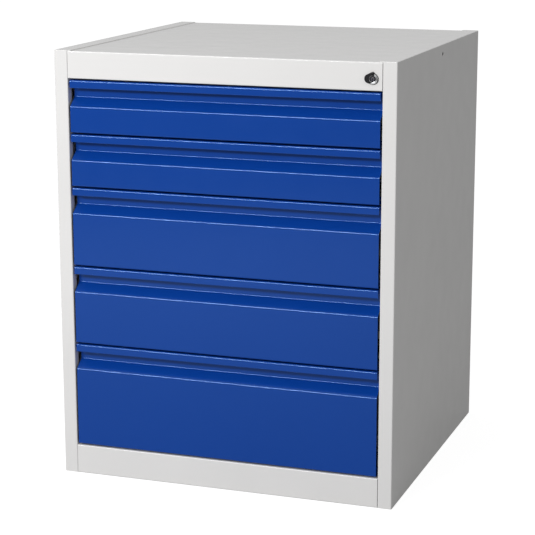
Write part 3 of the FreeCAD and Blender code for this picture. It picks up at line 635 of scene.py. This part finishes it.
@dataclass
class Case:
    """The case: two side panels, top, floor, back and lower front rail, all folded from painted sheet."""

    half_width: float = 325.0
    height: float = 810.0
    depth: float = 620.0
    gauge: float = 1.2
    bend: float = 0.8
    seat: float = 0.2
    stile: float = 26.3
    stile_return: float = 15.0
    rail_return: float = 20.0
    top_flange: float = 32.0
    other_flange: float = 20.0
    rear_fold: float = 18.0
    top_rail: float = 51.5
    bottom_rail: float = 55.5
    seam: float = 0.5
    rim_radius: float = 1.1
    side_edge: float = 0.45
    lock_hole: float = 9.35
    bolt_hole: float = 4.0
    bolt_depth: float = 321.0
    bolt_drop: float = 18.0

    def __post_init__(self) -> None:
        """Works out the lines that several pieces share."""
        self.inner = self.half_width - self.gauge
        self.opening = self.half_width - self.stile
        self.rail = self.opening - self.seam
        self.plate = self.height - self.gauge

    def build(self) -> None:
        """Builds and dresses every piece of the case."""
        for side in Side:
            self.side_panel(side)
        self.top_panel()
        self.front_rail()
        self.floor_panel()
        self.back_panel()
        for end in End:
            for side in Side:
                dress_node(f"post_{end.value}_{side.value}", CASE_PAINT)

    def side_panel(self, side: Side) -> None:
        """Makes a side: stile, wall and rear flange in one sheet, with flanges at the top and on the floor.

        Args:
            side: which one.
        """
        bench, g = Bench(), self.gauge
        near, far = self.opening, self.half_width - self.other_flange
        plan = [(near, self.stile_return), (near, 0), (self.half_width, 0), (self.half_width, self.depth),
                (far, self.depth), (far, self.depth - g), (self.inner, self.depth - g), (self.inner, g),
                (near + g, g), (near + g, self.stile_return)]
        bench.draw_out(Axis.Z, plan, 0, self.height)
        bench.fold(Axis.Z, plan[1:4], self.bend + g)
        bench.fold(Axis.Z, plan[6:9], self.bend)
        bench.soften(self.height, (0, self.depth / 2), self.rim_radius)
        top = rectangle(self.half_width - self.top_flange, g, self.inner, self.depth - g)
        bench.draw_out(Axis.Z, top, self.plate, g)
        bench.draw_out(Axis.Z, rectangle(far, g, self.inner, self.depth - g), 0, g)
        bench.drill(Axis.X, (self.bolt_depth, self.height - self.bolt_drop), self.bolt_hole, self.inner, g)
        if side is Side.LEFT:
            for part in (bench, bench.cutter):
                part.mirror(part.parts())
        bench.hand_over(f"side_sheet_{side.value}", "case", CASE_PAINT, [f"side_panel_{side.value}"],
                        self.side_edge)

    def span(self, section: list[Point], outer: list[Point], inner: list[Point]) -> Bench:
        """Folds a sheet that spans the opening.

        Args:
            section: its section, by depth and height.
            outer: the corners of it that are the outsides of folds.
            inner: those that are their insides.

        Returns:
            The bench with the sheet on it.
        """
        bench = Bench()
        bench.draw_out(Axis.X, section, -self.rail, 2 * self.rail)
        bench.fold(Axis.X, outer, self.bend + self.gauge)
        bench.fold(Axis.X, inner, self.bend)
        return bench

    def add_wings(self, bench: Bench, level: float) -> None:
        """Adds a wing at each end of a sheet, along the side panel's flange.

        Args:
            bench: the sheet's.
            level: height of the wings' undersides.
        """
        fold = self.bend + self.seat
        wing = rectangle(self.rail, self.stile_return + self.seat, self.inner - fold,
                         self.depth - self.gauge - fold)
        for outline in (wing, [(-x, y) for x, y in wing]):
            bench.draw_out(Axis.Z, outline, level, self.gauge)

    def top_panel(self) -> None:
        """Top plate with the upper front rail and the rear edge folded down from it."""
        g, low, behind = self.gauge, self.height - self.top_rail, self.plate - self.rear_fold
        section = [(self.rail_return, low), (0, low), (0, self.plate), (self.depth, self.plate),
                   (self.depth, behind), (self.depth - g, behind), (self.depth - g, self.plate - g),
                   (g, self.plate - g), (g, low + g), (self.rail_return, low + g)]
        bench = self.span(section, section[1:4], section[6:9])
        self.add_wings(bench, self.plate - g)
        bench.drill(Axis.Y, LOCK_CENTRE, self.lock_hole, 0, g)
        bench.hand_over("top_sheet", "case", CASE_PAINT, ["top_panel"])

    def front_rail(self) -> None:
        """Lower front rail, folded back at the opening and along the floor."""
        g, top, back = self.gauge, self.bottom_rail, self.rail_return
        section = [(back, top), (0, top), (0, 0), (back, 0), (back, g), (g, g), (g, top - g), (back, top - g)]
        bench = self.span(section, section[1:3], section[5:7])
        bench.hand_over("lower_rail_sheet", "case", CASE_PAINT, ["bottom_front_rail"])

    def floor_panel(self) -> None:
        """Floor plate with a fold up behind the back panel, and wings on the base flanges."""
        g = self.gauge
        front, high = g + self.bend + self.seat, g + self.rear_fold
        section = [(front, g), (self.depth, g), (self.depth, high), (self.depth - g, high),
                   (self.depth - g, 2 * g), (front, 2 * g)]
        bench = self.span(section, section[1:2], section[4:5])
        self.add_wings(bench, g)
        bench.hand_over("floor_sheet", "case", CASE_PAINT, ["floor_panel"])

    def back_panel(self) -> None:
        """Flat sheet between floor and top, in front of the rear flanges."""
        bench, (low, high) = Bench(), node_box("back_panel")
        bench.draw_out(Axis.Y, rectangle(low.x, low.z, high.x, high.z), low.y, self.gauge)
        bench.hand_over("back_sheet", "case", CASE_PAINT, ["back_panel"])


def dress_node(node: str, finish: Finish) -> None:
    """Gives a node of the frame its finish in place of the plain one.

    Args:
        node: the node's name.
        finish: its finish.
    """
    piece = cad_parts[node]
    piece.data.materials.clear()
    piece.data.materials.append(finish.material())
    log.info("%s is dressed in %s", node, finish.name)


@dataclass
class Runners:
    """A pair of channels in the case, and a pair of rails with rollers on the drawer."""

    drawer: int
    gauge: float = 1.2
    opening: float = 298.7
    tray: float = 285.5
    channel: float = 11.5
    front: float = 24.0
    entry: float = 47.5
    height: float = 22.2
    fold_radius: float = 1.2
    ledge: float = 10.0
    ledge_rise: float = 2.0
    rail_gap: float = 2.3
    stop_reach: float = 421.7
    stop_drop: float = 5.0
    screw_hole: float = 2.1
    roller_radius: float = 9.5
    roller_width: float = 7.5
    hub_out: float = 0.1
    axle_radius: float = 2.5
    axle_length: float = 8.25
    head_radius: float = 4.0

    def __post_init__(self) -> None:
        """Finds how high the runners are."""
        self.foot = runner_foot(self.drawer)

    def build(self) -> None:
        """Builds and dresses the runners and their rollers."""
        self.cabinet_channels()
        self.drawer_rails()
        for end in End:
            self.rollers(end)

    def axle(self, bench: Bench, end: End, start: float, sense: int) -> None:
        """Adds a riveted axle with a domed head, out from a runner's web.

        Args:
            bench: where the runner is made.
            end: whose roller turns on it.
            start: the web's face, across the cabinet.
            sense: 1 to point away from the middle of the cabinet, and -1 towards it.
        """
        reach = self.axle_length
        outline = [(0, 0), (self.axle_radius, 0), (self.axle_radius, reach), (self.head_radius, reach),
                   (self.head_radius - 0.3, reach + 0.35), (1.6, reach + 0.6), (0, reach + 0.6)]
        bench.lathe(Axis.X, middle_of(f"{end.value}_rollers_{self.drawer}"),
                    [(radius, start + sense * out) for radius, out in outline], 28)

    def cabinet_channels(self) -> None:
        """Channels on the posts, with a stop, a closed end, screw holes and the front rollers' axles."""
        bench, g, foot, web = Bench(), self.gauge, self.foot, self.opening - self.gauge
        inner, top = self.opening - self.channel, self.foot + self.height
        node = f"cabinet_runners_{self.drawer}"
        back = node_box(node)[1].y
        angle = [(self.opening, foot), (self.opening, top), (web, top), (web, foot + g), (inner, foot + g),
                 (inner, foot)]
        bench.draw_out(Axis.Y, angle, self.front, back - self.front)
        bench.fold(Axis.Y, angle[:1], self.fold_radius)
        bench.draw_out(Axis.Y, rectangle(inner, top - g, web, top), self.entry, back - self.entry)
        bench.draw_out(Axis.Y, rectangle(inner, foot + g, web, top - g), back - g, g)
        stop = node_box(f"rear_rollers_{self.drawer}")[0].y - self.stop_reach
        bench.draw_out(Axis.Y, rectangle(inner, top - g - self.stop_drop, web, top - g), stop, g)
        self.axle(bench, End.FRONT, web, -1)
        for end in End:
            place = (middle_of(f"post_{end.value}_right")[0], foot + self.height / 2)
            bench.drill(Axis.X, place, self.screw_hole, web, g)
        bench.add_twin()
        bench.hand_over(f"channels_{self.drawer}", "case", ZINC, [node], 0.15)

    def drawer_rails(self) -> None:
        """Rails beside the tray with a ledge under it, and the rear rollers' axles."""
        bench, g, tray = Bench(), self.gauge, self.tray
        node = f"drawer_runners_{self.drawer}"
        low, high = node_box(node)
        web, tip, ledge = tray + g, self.opening - self.rail_gap, self.foot + self.ledge_rise
        section = [(tray - self.ledge, ledge), (web, ledge), (web, high.z - g), (tip, high.z - g),
                   (tip, high.z), (tray, high.z), (tray, ledge + g), (tray - self.ledge, ledge + g)]
        bench.draw_out(Axis.Y, section, self.front, high.y - low.y)
        bench.fold(Axis.Y, [section[1], section[5]], self.fold_radius)
        self.axle(bench, End.REAR, web, 1)
        bench.add_twin()
        bench.hand_over(f"rails_{self.drawer}", f"drawer_{self.drawer}", ZINC, [node], 0.15)

    def rollers(self, end: End) -> None:
        """Makes a pair of nylon rollers with a crowned tread, a raised hub and a web between them.

        Args:
            end: whose.
        """
        bench, node = Bench(), f"{end.value}_rollers_{self.drawer}"
        right = node_box(node)[1].x - self.hub_out
        left = right + 2 * self.hub_out - self.roller_width
        bore, r = self.axle_radius + 0.1, self.roller_radius
        half = [
            (bore, 0), (4.6, 0), (5.0, 0.7), (7.4, 0.7), (7.8, 0.2), (8.9, 0.2), (r - 0.15, 1.0), (r, 2.6)]
        outline = [(radius, left + out) for radius, out in half]
        outline += [(radius, right - out) for radius, out in reversed(half)]
        bench.lathe(Axis.X, middle_of(node), outline, 40)
        bench.add_twin()
        bench.hand_over(f"{end.value}_roller_pair_{self.drawer}", node, NYLON, [node], 0.0)


@dataclass
class RunnerScrews:
    """Pan-head screws with a cross recess, which hold the channels on the posts."""

    face: float = 297.5
    head_radius: float = 3.5
    head: float = 1.3
    shank_radius: float = 2.0
    tip: float = 303.5
    recess: Point = (2.0, 0.35)
    recess_depth: float = 0.7

    def build(self) -> None:
        """Builds and dresses all twenty."""
        bench, face, (wide, tall) = Bench(), self.face, self.recess
        cross = [(-tall, -tall), (-tall, -wide), (tall, -wide)]
        for _ in range(3):
            cross += [(-b, a) for a, b in cross[-3:]]
        outline = [(0, face - self.head), (1.9, face - 1.25), (2.9, face - 1.0), (3.4, face - 0.5),
                   (self.head_radius, face), (self.shank_radius, face), (self.shank_radius, self.tip - 0.5),
                   (1.2, self.tip), (0, self.tip)]
        for end in End:
            depth = middle_of(f"post_{end.value}_right")[0]
            for drawer in DRAWERS:
                level = runner_foot(drawer) + Runners.height / 2
                bench.lathe(Axis.X, (depth, level), outline, 24)
                bench.cut(Axis.X, [(depth + a, level + b) for a, b in cross], face - self.head,
                          self.recess_depth, past=0)
        bench.add_twin()
        bench.hand_over("runner_screw_set", "case", ZINC, ["runner_screws"], 0.0)


@dataclass
class Drawer:
    """A drawer: its folded front, its tray and the lug that the lock catches."""

    number: int
    gauge: float = 1.2
    bend: float = 1.6
    grip_depth: float = 20.0
    grip_drop: float = 32.5
    slope_drop: float = 48.5
    lip: float = 14.5
    lip_round: float = 1.14
    hem: float = 7.0
    foot_rise: float = 12.0
    tray_gauge: float = 1.0
    tray_hem: float = 10.0
    hem_across: float = 2.3
    hem_radius: float = 1.1
    tray_radius: float = 1.5
    lug_gauge: float = 2.0
    lug_bend: float = 1.6

    def __post_init__(self) -> None:
        """Names the body that the pieces ride on."""
        self.body = f"drawer_{self.number}"

    def build(self) -> None:
        """Builds and dresses the drawer's pieces."""
        self.front()
        self.tray()
        self.lug()

    def front(self) -> None:
        """One folded sheet: hemmed lip, grip recess, slope, face and a foot turned up behind it."""
        bench, g, node = Bench(), self.gauge, f"drawer_front_{self.number}"
        low, high = node_box(node)
        top, foot, back, deep = high.z, low.z, self.grip_depth + g, self.grip_depth
        shift = g * tan(atan2(deep, self.slope_drop - self.grip_drop) / 2)
        lip_end, hem_end = top - self.lip, top - self.lip + self.hem
        brow, chin = (0, top), (0, foot)
        slope_top, slope_foot = (deep, top - self.grip_drop), (0, top - self.slope_drop)
        behind_top, behind_foot = (back, top - self.grip_drop - shift), (g, top - self.slope_drop - shift)
        section = [
            (0, lip_end), brow, (back, top), behind_top, behind_foot, (g, foot + g), (deep, foot + g),
            (deep, foot + self.foot_rise), (back, foot + self.foot_rise), (back, foot), chin, slope_foot,
            slope_top, (deep, top - g), (g, top - g), (g, hem_end), (2 * g, hem_end), (2 * g, lip_end)]
        bench.draw_out(Axis.X, section, low.x, high.x - low.x)
        bench.fold(Axis.X, [brow, (back, top), behind_top, (back, foot), chin, slope_foot], self.bend + g)
        bench.fold(Axis.X, [behind_foot, (g, foot + g), (deep, foot + g), slope_top, (deep, top - g),
                            (g, top - g)], self.bend)
        bench.fold(Axis.X, [section[0], section[-1]], self.lip_round)
        bench.hand_over(f"front_sheet_{self.number}", self.body, DRAWER_PAINT, [node], 0.25)

    def tray(self) -> None:
        """Tray folded from one sheet, with its top edge hemmed inwards."""
        bench, node = Bench(), f"drawer_tray_{self.number}"
        low, high = node_box(node)
        size, middle = high - low, (low + high) / 2
        bmesh.ops.create_cube(
            bench.mesh, size=1.0, matrix=Matrix.Translation(middle) @ Matrix.Diagonal((*size, 1)))
        lid = max(bench.mesh.faces, key=lambda face: face.calc_center_median().z)
        bmesh.ops.delete(bench.mesh, geom=[lid], context="FACES_ONLY")
        rim = [edge for edge in bench.mesh.edges if edge.is_boundary]
        for inward, drop in ((self.hem_across, 0.0), (0.0, self.tray_hem)):
            grown = bmesh.ops.extrude_edge_only(bench.mesh, edges=rim)["geom"]
            corners, rim = kept(grown, BMVert), kept(grown, BMEdge)
            shrink = (1 - 2 * inward / size.x, 1 - 2 * inward / size.y, 1)
            bmesh.ops.scale(bench.mesh, vec=shrink, verts=corners, space=Matrix.Translation(-middle))
            bmesh.ops.translate(bench.mesh, vec=(0, 0, -drop), verts=corners)
        folds = [edge for edge in bench.mesh.edges if not edge.is_boundary
                 and abs(edge.verts[0].co.z - edge.verts[1].co.z) < NEAR]
        for level, radius in ((high.z, self.hem_radius), (low.z, self.tray_radius)):
            chosen = [edge for edge in folds if edge.is_valid and abs(edge.verts[0].co.z - level) < NEAR]
            bench.round_off([edge for edge in chosen if edge.calc_face_angle(0) > 1], radius)
        bench.hand_over(f"tray_sheet_{self.number}", self.body, TRAY_PAINT, [node], 0.15, self.tray_gauge)

    def lug(self) -> None:
        """Angle on the tray that a pin of the lock bar stands in front of."""
        bench, g, node = Bench(), self.lug_gauge, f"catch_lug_{self.number}"
        low, high = node_box(node)
        plan = [(low.x, low.y), (high.x, low.y), (high.x, low.y + g), (low.x + g, low.y + g),
                (low.x + g, high.y), (low.x, high.y)]
        bench.draw_out(Axis.Z, plan, low.z, high.z - low.z)
        bench.fold(Axis.Z, plan[:1], self.lug_bend)
        bench.hand_over(f"lug_{self.number}", self.body, TRAY_PAINT, [node], 0.3)


@dataclass
class CylinderLock:
    """The cylinder lock in the upper rail, with its cam and its swivel dust cover."""

    bezel_radius: float = 10.0
    barrel_radius: float = 9.25
    barrel: float = 20.0
    plug_radius: float = 6.5
    face_radius: float = 5.6
    play: float = 0.08
    nut_radius: float = 13.0
    nut: float = 4.0
    keyway: Point = (0.75, 3.0)
    wafer_rises: Place = (1.9, -2.1, 1.6)
    tang: float = 3.5
    tang_length: float = 1.8
    tang_fit: float = 0.05
    cam_depth: float = 20.3
    cam_gauge: float = 2.0
    cam_throw: float = 13.0
    hub_radius: float = 7.5
    arm_radius: float = 4.5
    pin_radius: float = 2.5
    pin_length: float = 7.2
    pivot_rise: float = 9.5
    ear_radius: float = 2.9
    cover_radius: float = 8.2
    cover_arm: float = 10.9
    cover_swing: float = 34.7
    cover_face: float = -4.2
    cover_gauge: float = 1.0

    def build(self) -> None:
        """Builds and dresses the lock's pieces."""
        self.housing()
        self.barrel_nut()
        self.plug()
        self.cam()
        self.cover()

    def at(self, across: float, rise: float) -> Point:
        """A place beside and above the lock's axis."""
        return (LOCK_CENTRE[0] + across, LOCK_CENTRE[1] + rise)

    def about(self, across: float, up: float, rise: float = 0.0) -> list[Point]:
        """The corners of a rectangle on the lock's axis or above it, by its half width and half height."""
        return rectangle(*self.at(-across, rise - up), *self.at(across, rise + up))

    def housing(self) -> None:
        """Chromed dished bezel and barrel, a black ring round the bezel that is painted shadow, and the ear
        and rivet of the cover.
        """
        bench, mouth, bore = Bench(), self.face_radius + self.play, self.plug_radius + self.play
        outline = [(mouth, -2.45), (mouth + 0.2, -2.6), (8.4, -2.95), (8.8, -3.0), (9.15, -2.8), (9.3, -2.2),
                   (9.3, -0.5), (self.barrel_radius, -0.5), (self.barrel_radius, self.barrel),
                   (bore, self.barrel), (bore, -self.play), (mouth, -self.play)]
        bench.lathe(Axis.Y, LOCK_CENTRE, outline, 72)
        bench.hand_over("lock_bezel_and_barrel", "case", CHROME, ["lock_housing"], 0.0)
        # The black ring round the bezel stands in for the shadow that the bezel casts on the rail: painted
        # shadow.
        shadow_ring_and_pivot, pivot = Bench(), self.at(0, self.pivot_rise)
        shadow_ring_and_pivot.lathe(Axis.Y, LOCK_CENTRE, [(9.35, -1.8), (9.6, -1.8), (self.bezel_radius, -1.2),
                                          (self.bezel_radius, 0), (9.35, 0)], 72)
        shadow_ring_and_pivot.rod(Axis.Y, pivot, self.ear_radius, -2.9, 2.9, 40)
        shadow_ring_and_pivot.lathe(Axis.Y, pivot, [(0, -5.0), (1.3, -4.95), (2.0, -4.7), (2.2, -4.4), (1.2, -4.4),
                                    (1.2, -1.0), (0, -1.0)], 32)
        shadow_ring_and_pivot.hand_over("bezel_shadow_ring_and_pivot", "case", COVER_BLACK, [], 0.0)

    def barrel_nut(self) -> None:
        """Hexagon nut that holds the barrel in the rail."""
        bench = Bench()
        bench.rod(Axis.Y, LOCK_CENTRE, self.nut_radius, Case.gauge, self.nut, 6)
        bench.drill(Axis.Y, LOCK_CENTRE, self.barrel_radius + 0.1, Case.gauge, self.nut)
        bench.hand_over("barrel_nut", "case", ZINC, ["lock_nut"], 0.3)

    def plug(self) -> None:
        """Turning plug with its tang: a groove round a face painted lighter grey as a painted sheen, whose
        keyway shows its wafers.
        """
        bench, face, wafers, r = Bench(), Bench(), Bench(), self.face_radius
        outline = [(0, -1.0), (4.9, -1.0), (5.2, -2.4), (r - 0.1, -2.4), (r, -2.2), (r, 0),
                   (self.plug_radius, 0), (self.plug_radius, self.cam_depth), (0, self.cam_depth)]
        bench.lathe(Axis.Y, LOCK_CENTRE, outline, 48)
        bench.draw_out(Axis.Y, self.about(self.tang, self.tang), self.cam_depth, self.tang_length)
        face.lathe(Axis.Y, LOCK_CENTRE, [(0, -2.6), (3.3, -2.6), (3.8, -2.2), (3.9, -1.0), (0, -1.0)], 40)
        for part in (bench, face):
            part.cut(Axis.Y, self.about(*self.keyway), -2.6, 9.0, past=0)
        bench.hand_over("lock_cylinder_plug", "lock_plug", PLUG_BLACK, ["lock_plug"], 0.0)
        # The face's lighter grey is a painted sheen on the black plug.
        face.hand_over("plug_face", "lock_plug", PLUG_SHEEN_GREY, [], 0.0)
        for step, rise in enumerate(self.wafer_rises):
            wafers.draw_out(Axis.Y, self.about(0.7, 1.0, rise), -1.2 + 1.6 * step, 0.7)
        wafers.hand_over("plug_wafers", "lock_plug", WAFER, [], 0.1)

    def cam(self) -> None:
        """Cam on the plug's tang, with the pin that lifts the bar, and the head of the bolt that holds it."""
        bench, bolt, behind = Bench(), Bench(), self.cam_depth + self.cam_gauge
        pin = self.at(self.cam_throw * cos(radians(45)), -self.cam_throw * sin(radians(45)))
        bench.stretch_round(Axis.Y, [(*LOCK_CENTRE, self.hub_radius), (*pin, self.arm_radius)],
                            self.cam_depth, self.cam_gauge)
        hole = self.tang + self.tang_fit
        bench.cut(Axis.Y, self.about(hole, hole), self.cam_depth, self.cam_gauge)
        bench.rod(Axis.Y, pin, self.pin_radius, behind, self.pin_length, 28)
        bench.hand_over("lift_cam", "lock_plug", ZINC, ["lock_cam"], 0.25)
        bolt.rod(Axis.Y, LOCK_CENTRE, 4.5, behind, 2.0, 6)
        bolt.hand_over("cam_bolt", "lock_plug", ZINC, ["cam_screw"], 0.3)

    def cover(self) -> None:
        """Dust cover swung aside on its rivet: a pressed disc with an ear, notched to clear the plug."""
        bench, pivot, swing = Bench(), self.at(0, self.pivot_rise), radians(self.cover_swing)
        disc = (pivot[0] - self.cover_arm * sin(swing), pivot[1] - self.cover_arm * cos(swing))
        bench.stretch_round(Axis.Y, [(*disc, self.cover_radius), (*pivot, self.ear_radius)],
                            self.cover_face, self.cover_gauge)
        bench.drill(Axis.Y, pivot, 1.25, self.cover_face, self.cover_gauge)
        bench.drill(Axis.Y, LOCK_CENTRE, self.face_radius + 0.5, self.cover_face, self.cover_gauge)
        bench.hand_over("dust_cover", "lock_cover", COVER_BLACK, ["lock_cover"], 0.35)


@dataclass
class LockBar:
    """The bar that the lock lifts, with its tongue and pins, and the guides that it slides in."""

    gauge: float = 2.0
    width: float = 18.0
    tongue: float = 16.0
    slot_across: Point = (13.5, 2.5)
    slot_drops: Point = (11.0, 5.0)
    pin_depth: float = 5.5
    pin_rise: float = 34.0
    pin_reach: float = 12.5
    pin_radius: float = 3.5
    shank_radius: float = 2.2
    shank_fit: float = 0.05
    side: float = 323.8
    guide_rise: float = 70.0
    guide_upstand: float = 14.0
    guide_ends: Point = (4.0, 22.0)
    guide_overlap: float = 1.5
    guide_play: float = 0.3

    def __post_init__(self) -> None:
        """Finds the box that the bar fills."""
        self.low, self.high = node_box("lock_bar")
        self.across, self.near = self.high.x - self.gauge, self.low.y

    def build(self) -> None:
        """Builds and dresses the bar, its pins and its guides."""
        self.bar()
        self.guides()

    def bar(self) -> None:
        """Upright with a slotted tongue, and the pins riveted in it."""
        bench, pins, g, across, low, high = Bench(), Bench(), self.gauge, self.across, self.low, self.high
        bench.draw_out(Axis.Z, rectangle(across, low.y, high.x, low.y + self.width), low.z, high.z - low.z)
        bench.draw_out(Axis.Y, rectangle(low.x, high.z - self.tongue, across, high.z), low.y, g)
        slot = rectangle(across - self.slot_across[0], high.z - self.slot_drops[0],
                         across - self.slot_across[1], high.z - self.slot_drops[1])
        bench.cut(Axis.Y, slot, low.y, g)
        end, r = across - self.pin_reach, self.pin_radius
        outline = [(0, end), (r - 0.5, end), (r, end + 0.5), (r, across), (self.shank_radius, across),
                   (self.shank_radius, high.x), (3.2, high.x), (2.8, high.x + 0.8), (0, high.x + 1)]
        for drawer in DRAWERS:
            place = (low.y + self.pin_depth, runner_foot(drawer) + self.pin_rise)
            pins.lathe(Axis.X, place, outline, 32)
            bench.drill(Axis.X, place, self.shank_radius + self.shank_fit, across, g)
        bench.hand_over("lift_bar", "lock_bar", ZINC_UPRIGHT, ["lock_bar"], 0.3)
        pins.hand_over("bar_pin_set", "lock_bar", ZINC, ["lock_bar_pins"], 0.0)

    def guides(self) -> None:
        """Slotted angles on the side panel."""
        bench, g, play, side = Bench(), self.gauge, self.guide_play, self.side
        front, back = self.near - self.guide_ends[0], self.near + self.guide_ends[1]
        slot = rectangle(
            self.across - play, self.near - play, self.across + g + play, self.near + self.width + play)
        for drawer in DRAWERS[::2]:
            level = runner_foot(drawer) + self.guide_rise
            bench.draw_out(Axis.Z, rectangle(self.across - self.guide_overlap, front, side, back), level, g)
            bench.draw_out(Axis.Z, rectangle(side - g, front, side, back), level + g, self.guide_upstand)
            bench.cut(Axis.Z, slot, level, g)
        bench.hand_over("bar_guides", "case", ZINC, ["lock_bar_guides"], 0.2)


# The studio

@dataclass
class Studio:
    """A white floor, soft light from the front left and the camera, with places in metres."""

    lens: float = 119.3
    sensor: float = 36.0
    camera_place: Place = (1.122, -3.241, 1.143)
    yaw: float = 19.39
    pitch: float = -12.87
    roll: float = 0.09
    sky: float = 0.52
    mirrored: float = 0.60
    lamp_place: Place = (-0.95, -2.75, 1.7)
    lamp_aim: Place = (0.0, 0.0, 0.6)
    lamp_size: Point = (1.5, 0.4)
    lamp_watts: float = 58.0
    floor_reach: float = 30.0
    floor_lit: str = "#A8A8A8"
    floor_shown: str = "#9A9A9A"
    floor_glow: float = 0.86

    def build(self) -> None:
        """Sets up the world, lamp, floor and camera."""
        self.world()
        self.lamp()
        self.floor()
        self.camera()
        bpy.context.scene.view_settings.view_transform = "Standard"

    def world(self) -> None:
        """White to the camera, paler in reflections, and a low even light on the surfaces."""
        world = bpy.data.worlds.new("studio")
        bpy.context.scene.world = world
        tree = empty_tree(world)
        path, strength = add(tree, "LightPath", {}).outputs, self.sky
        for ray, level in (("Glossy", self.mirrored), ("Transmission", 1.0), ("Camera", 1.0)):
            shown = add(tree, "Math", {0: path[f"Is {ray} Ray"], 1: level}, operation="MULTIPLY").outputs[0]
            strength = add(tree, "Math", {0: shown, 1: strength}, operation="MAXIMUM").outputs[0]
        sky = add(tree, "Background", {"Color": (1, 1, 1, 1), "Strength": strength})
        add(tree, "OutputWorld", {"Surface": sky.outputs[0]})

    def lamp(self) -> None:
        """A long soft light that faces the cabinet, and draws one thin line along each fold of a drawer."""
        lamp = bpy.data.lights.new("key_light", "AREA")
        lamp.shape, lamp.energy = "RECTANGLE", self.lamp_watts
        lamp.size, lamp.size_y = self.lamp_size
        stand = set_out("key_light", lamp)
        stand.location = self.lamp_place
        aim = Vector(self.lamp_place) - Vector(self.lamp_aim)
        stand.rotation_euler = aim.to_track_quat("Z", "Y").to_euler()

    def floor(self) -> None:
        """A pale matt floor that looks white to the camera and keeps the cabinet's shadow."""
        mesh = bmesh.new()
        bmesh.ops.create_grid(mesh, x_segments=1, y_segments=1, size=self.floor_reach)
        data = bpy.data.meshes.new("floor")
        mesh.to_mesh(data)
        mesh.free()
        floor = set_out("floor", data)
        paint = bpy.data.materials.new("matt_white_floor")
        tree = empty_tree(paint)
        lit = add(tree, "BsdfDiffuse", {"Color": linear(self.floor_lit)}).outputs[0]
        shown = add(tree, "BsdfDiffuse", {"Color": linear(self.floor_shown)}).outputs[0]
        glow = add(tree, "Emission", {"Color": (1, 1, 1, 1), "Strength": self.floor_glow}).outputs[0]
        white = add(tree, "AddShader", {0: shown, 1: glow}).outputs[0]
        path = add(tree, "LightPath", {}).outputs["Is Camera Ray"]
        mixed = add(tree, "MixShader", {0: path, 1: lit, 2: white})
        add(tree, "OutputMaterial", {"Surface": mixed.outputs[0]})
        data.materials.append(paint)

    def camera(self) -> None:
        """The camera, from the front right and above."""
        lens = bpy.data.cameras.new("camera")
        lens.lens, lens.sensor_width = self.lens, self.sensor
        stand = set_out("camera", lens)
        stand.location = self.camera_place
        stand.rotation_euler = (radians(90 + self.pitch), radians(self.roll), radians(self.yaw))
        bpy.context.scene.camera = stand


def main() -> None:
    """Builds the cabinet and its studio."""
    logging.basicConfig(level=logging.INFO, format="%(name)s: %(message)s")
    Studio().build()
    Case().build()
    RunnerScrews().build()
    for number in DRAWERS:
        Runners(number).build()
        Drawer(number).build()
    CylinderLock().build()
    LockBar().build()


if __name__ == "__main__":
    main()
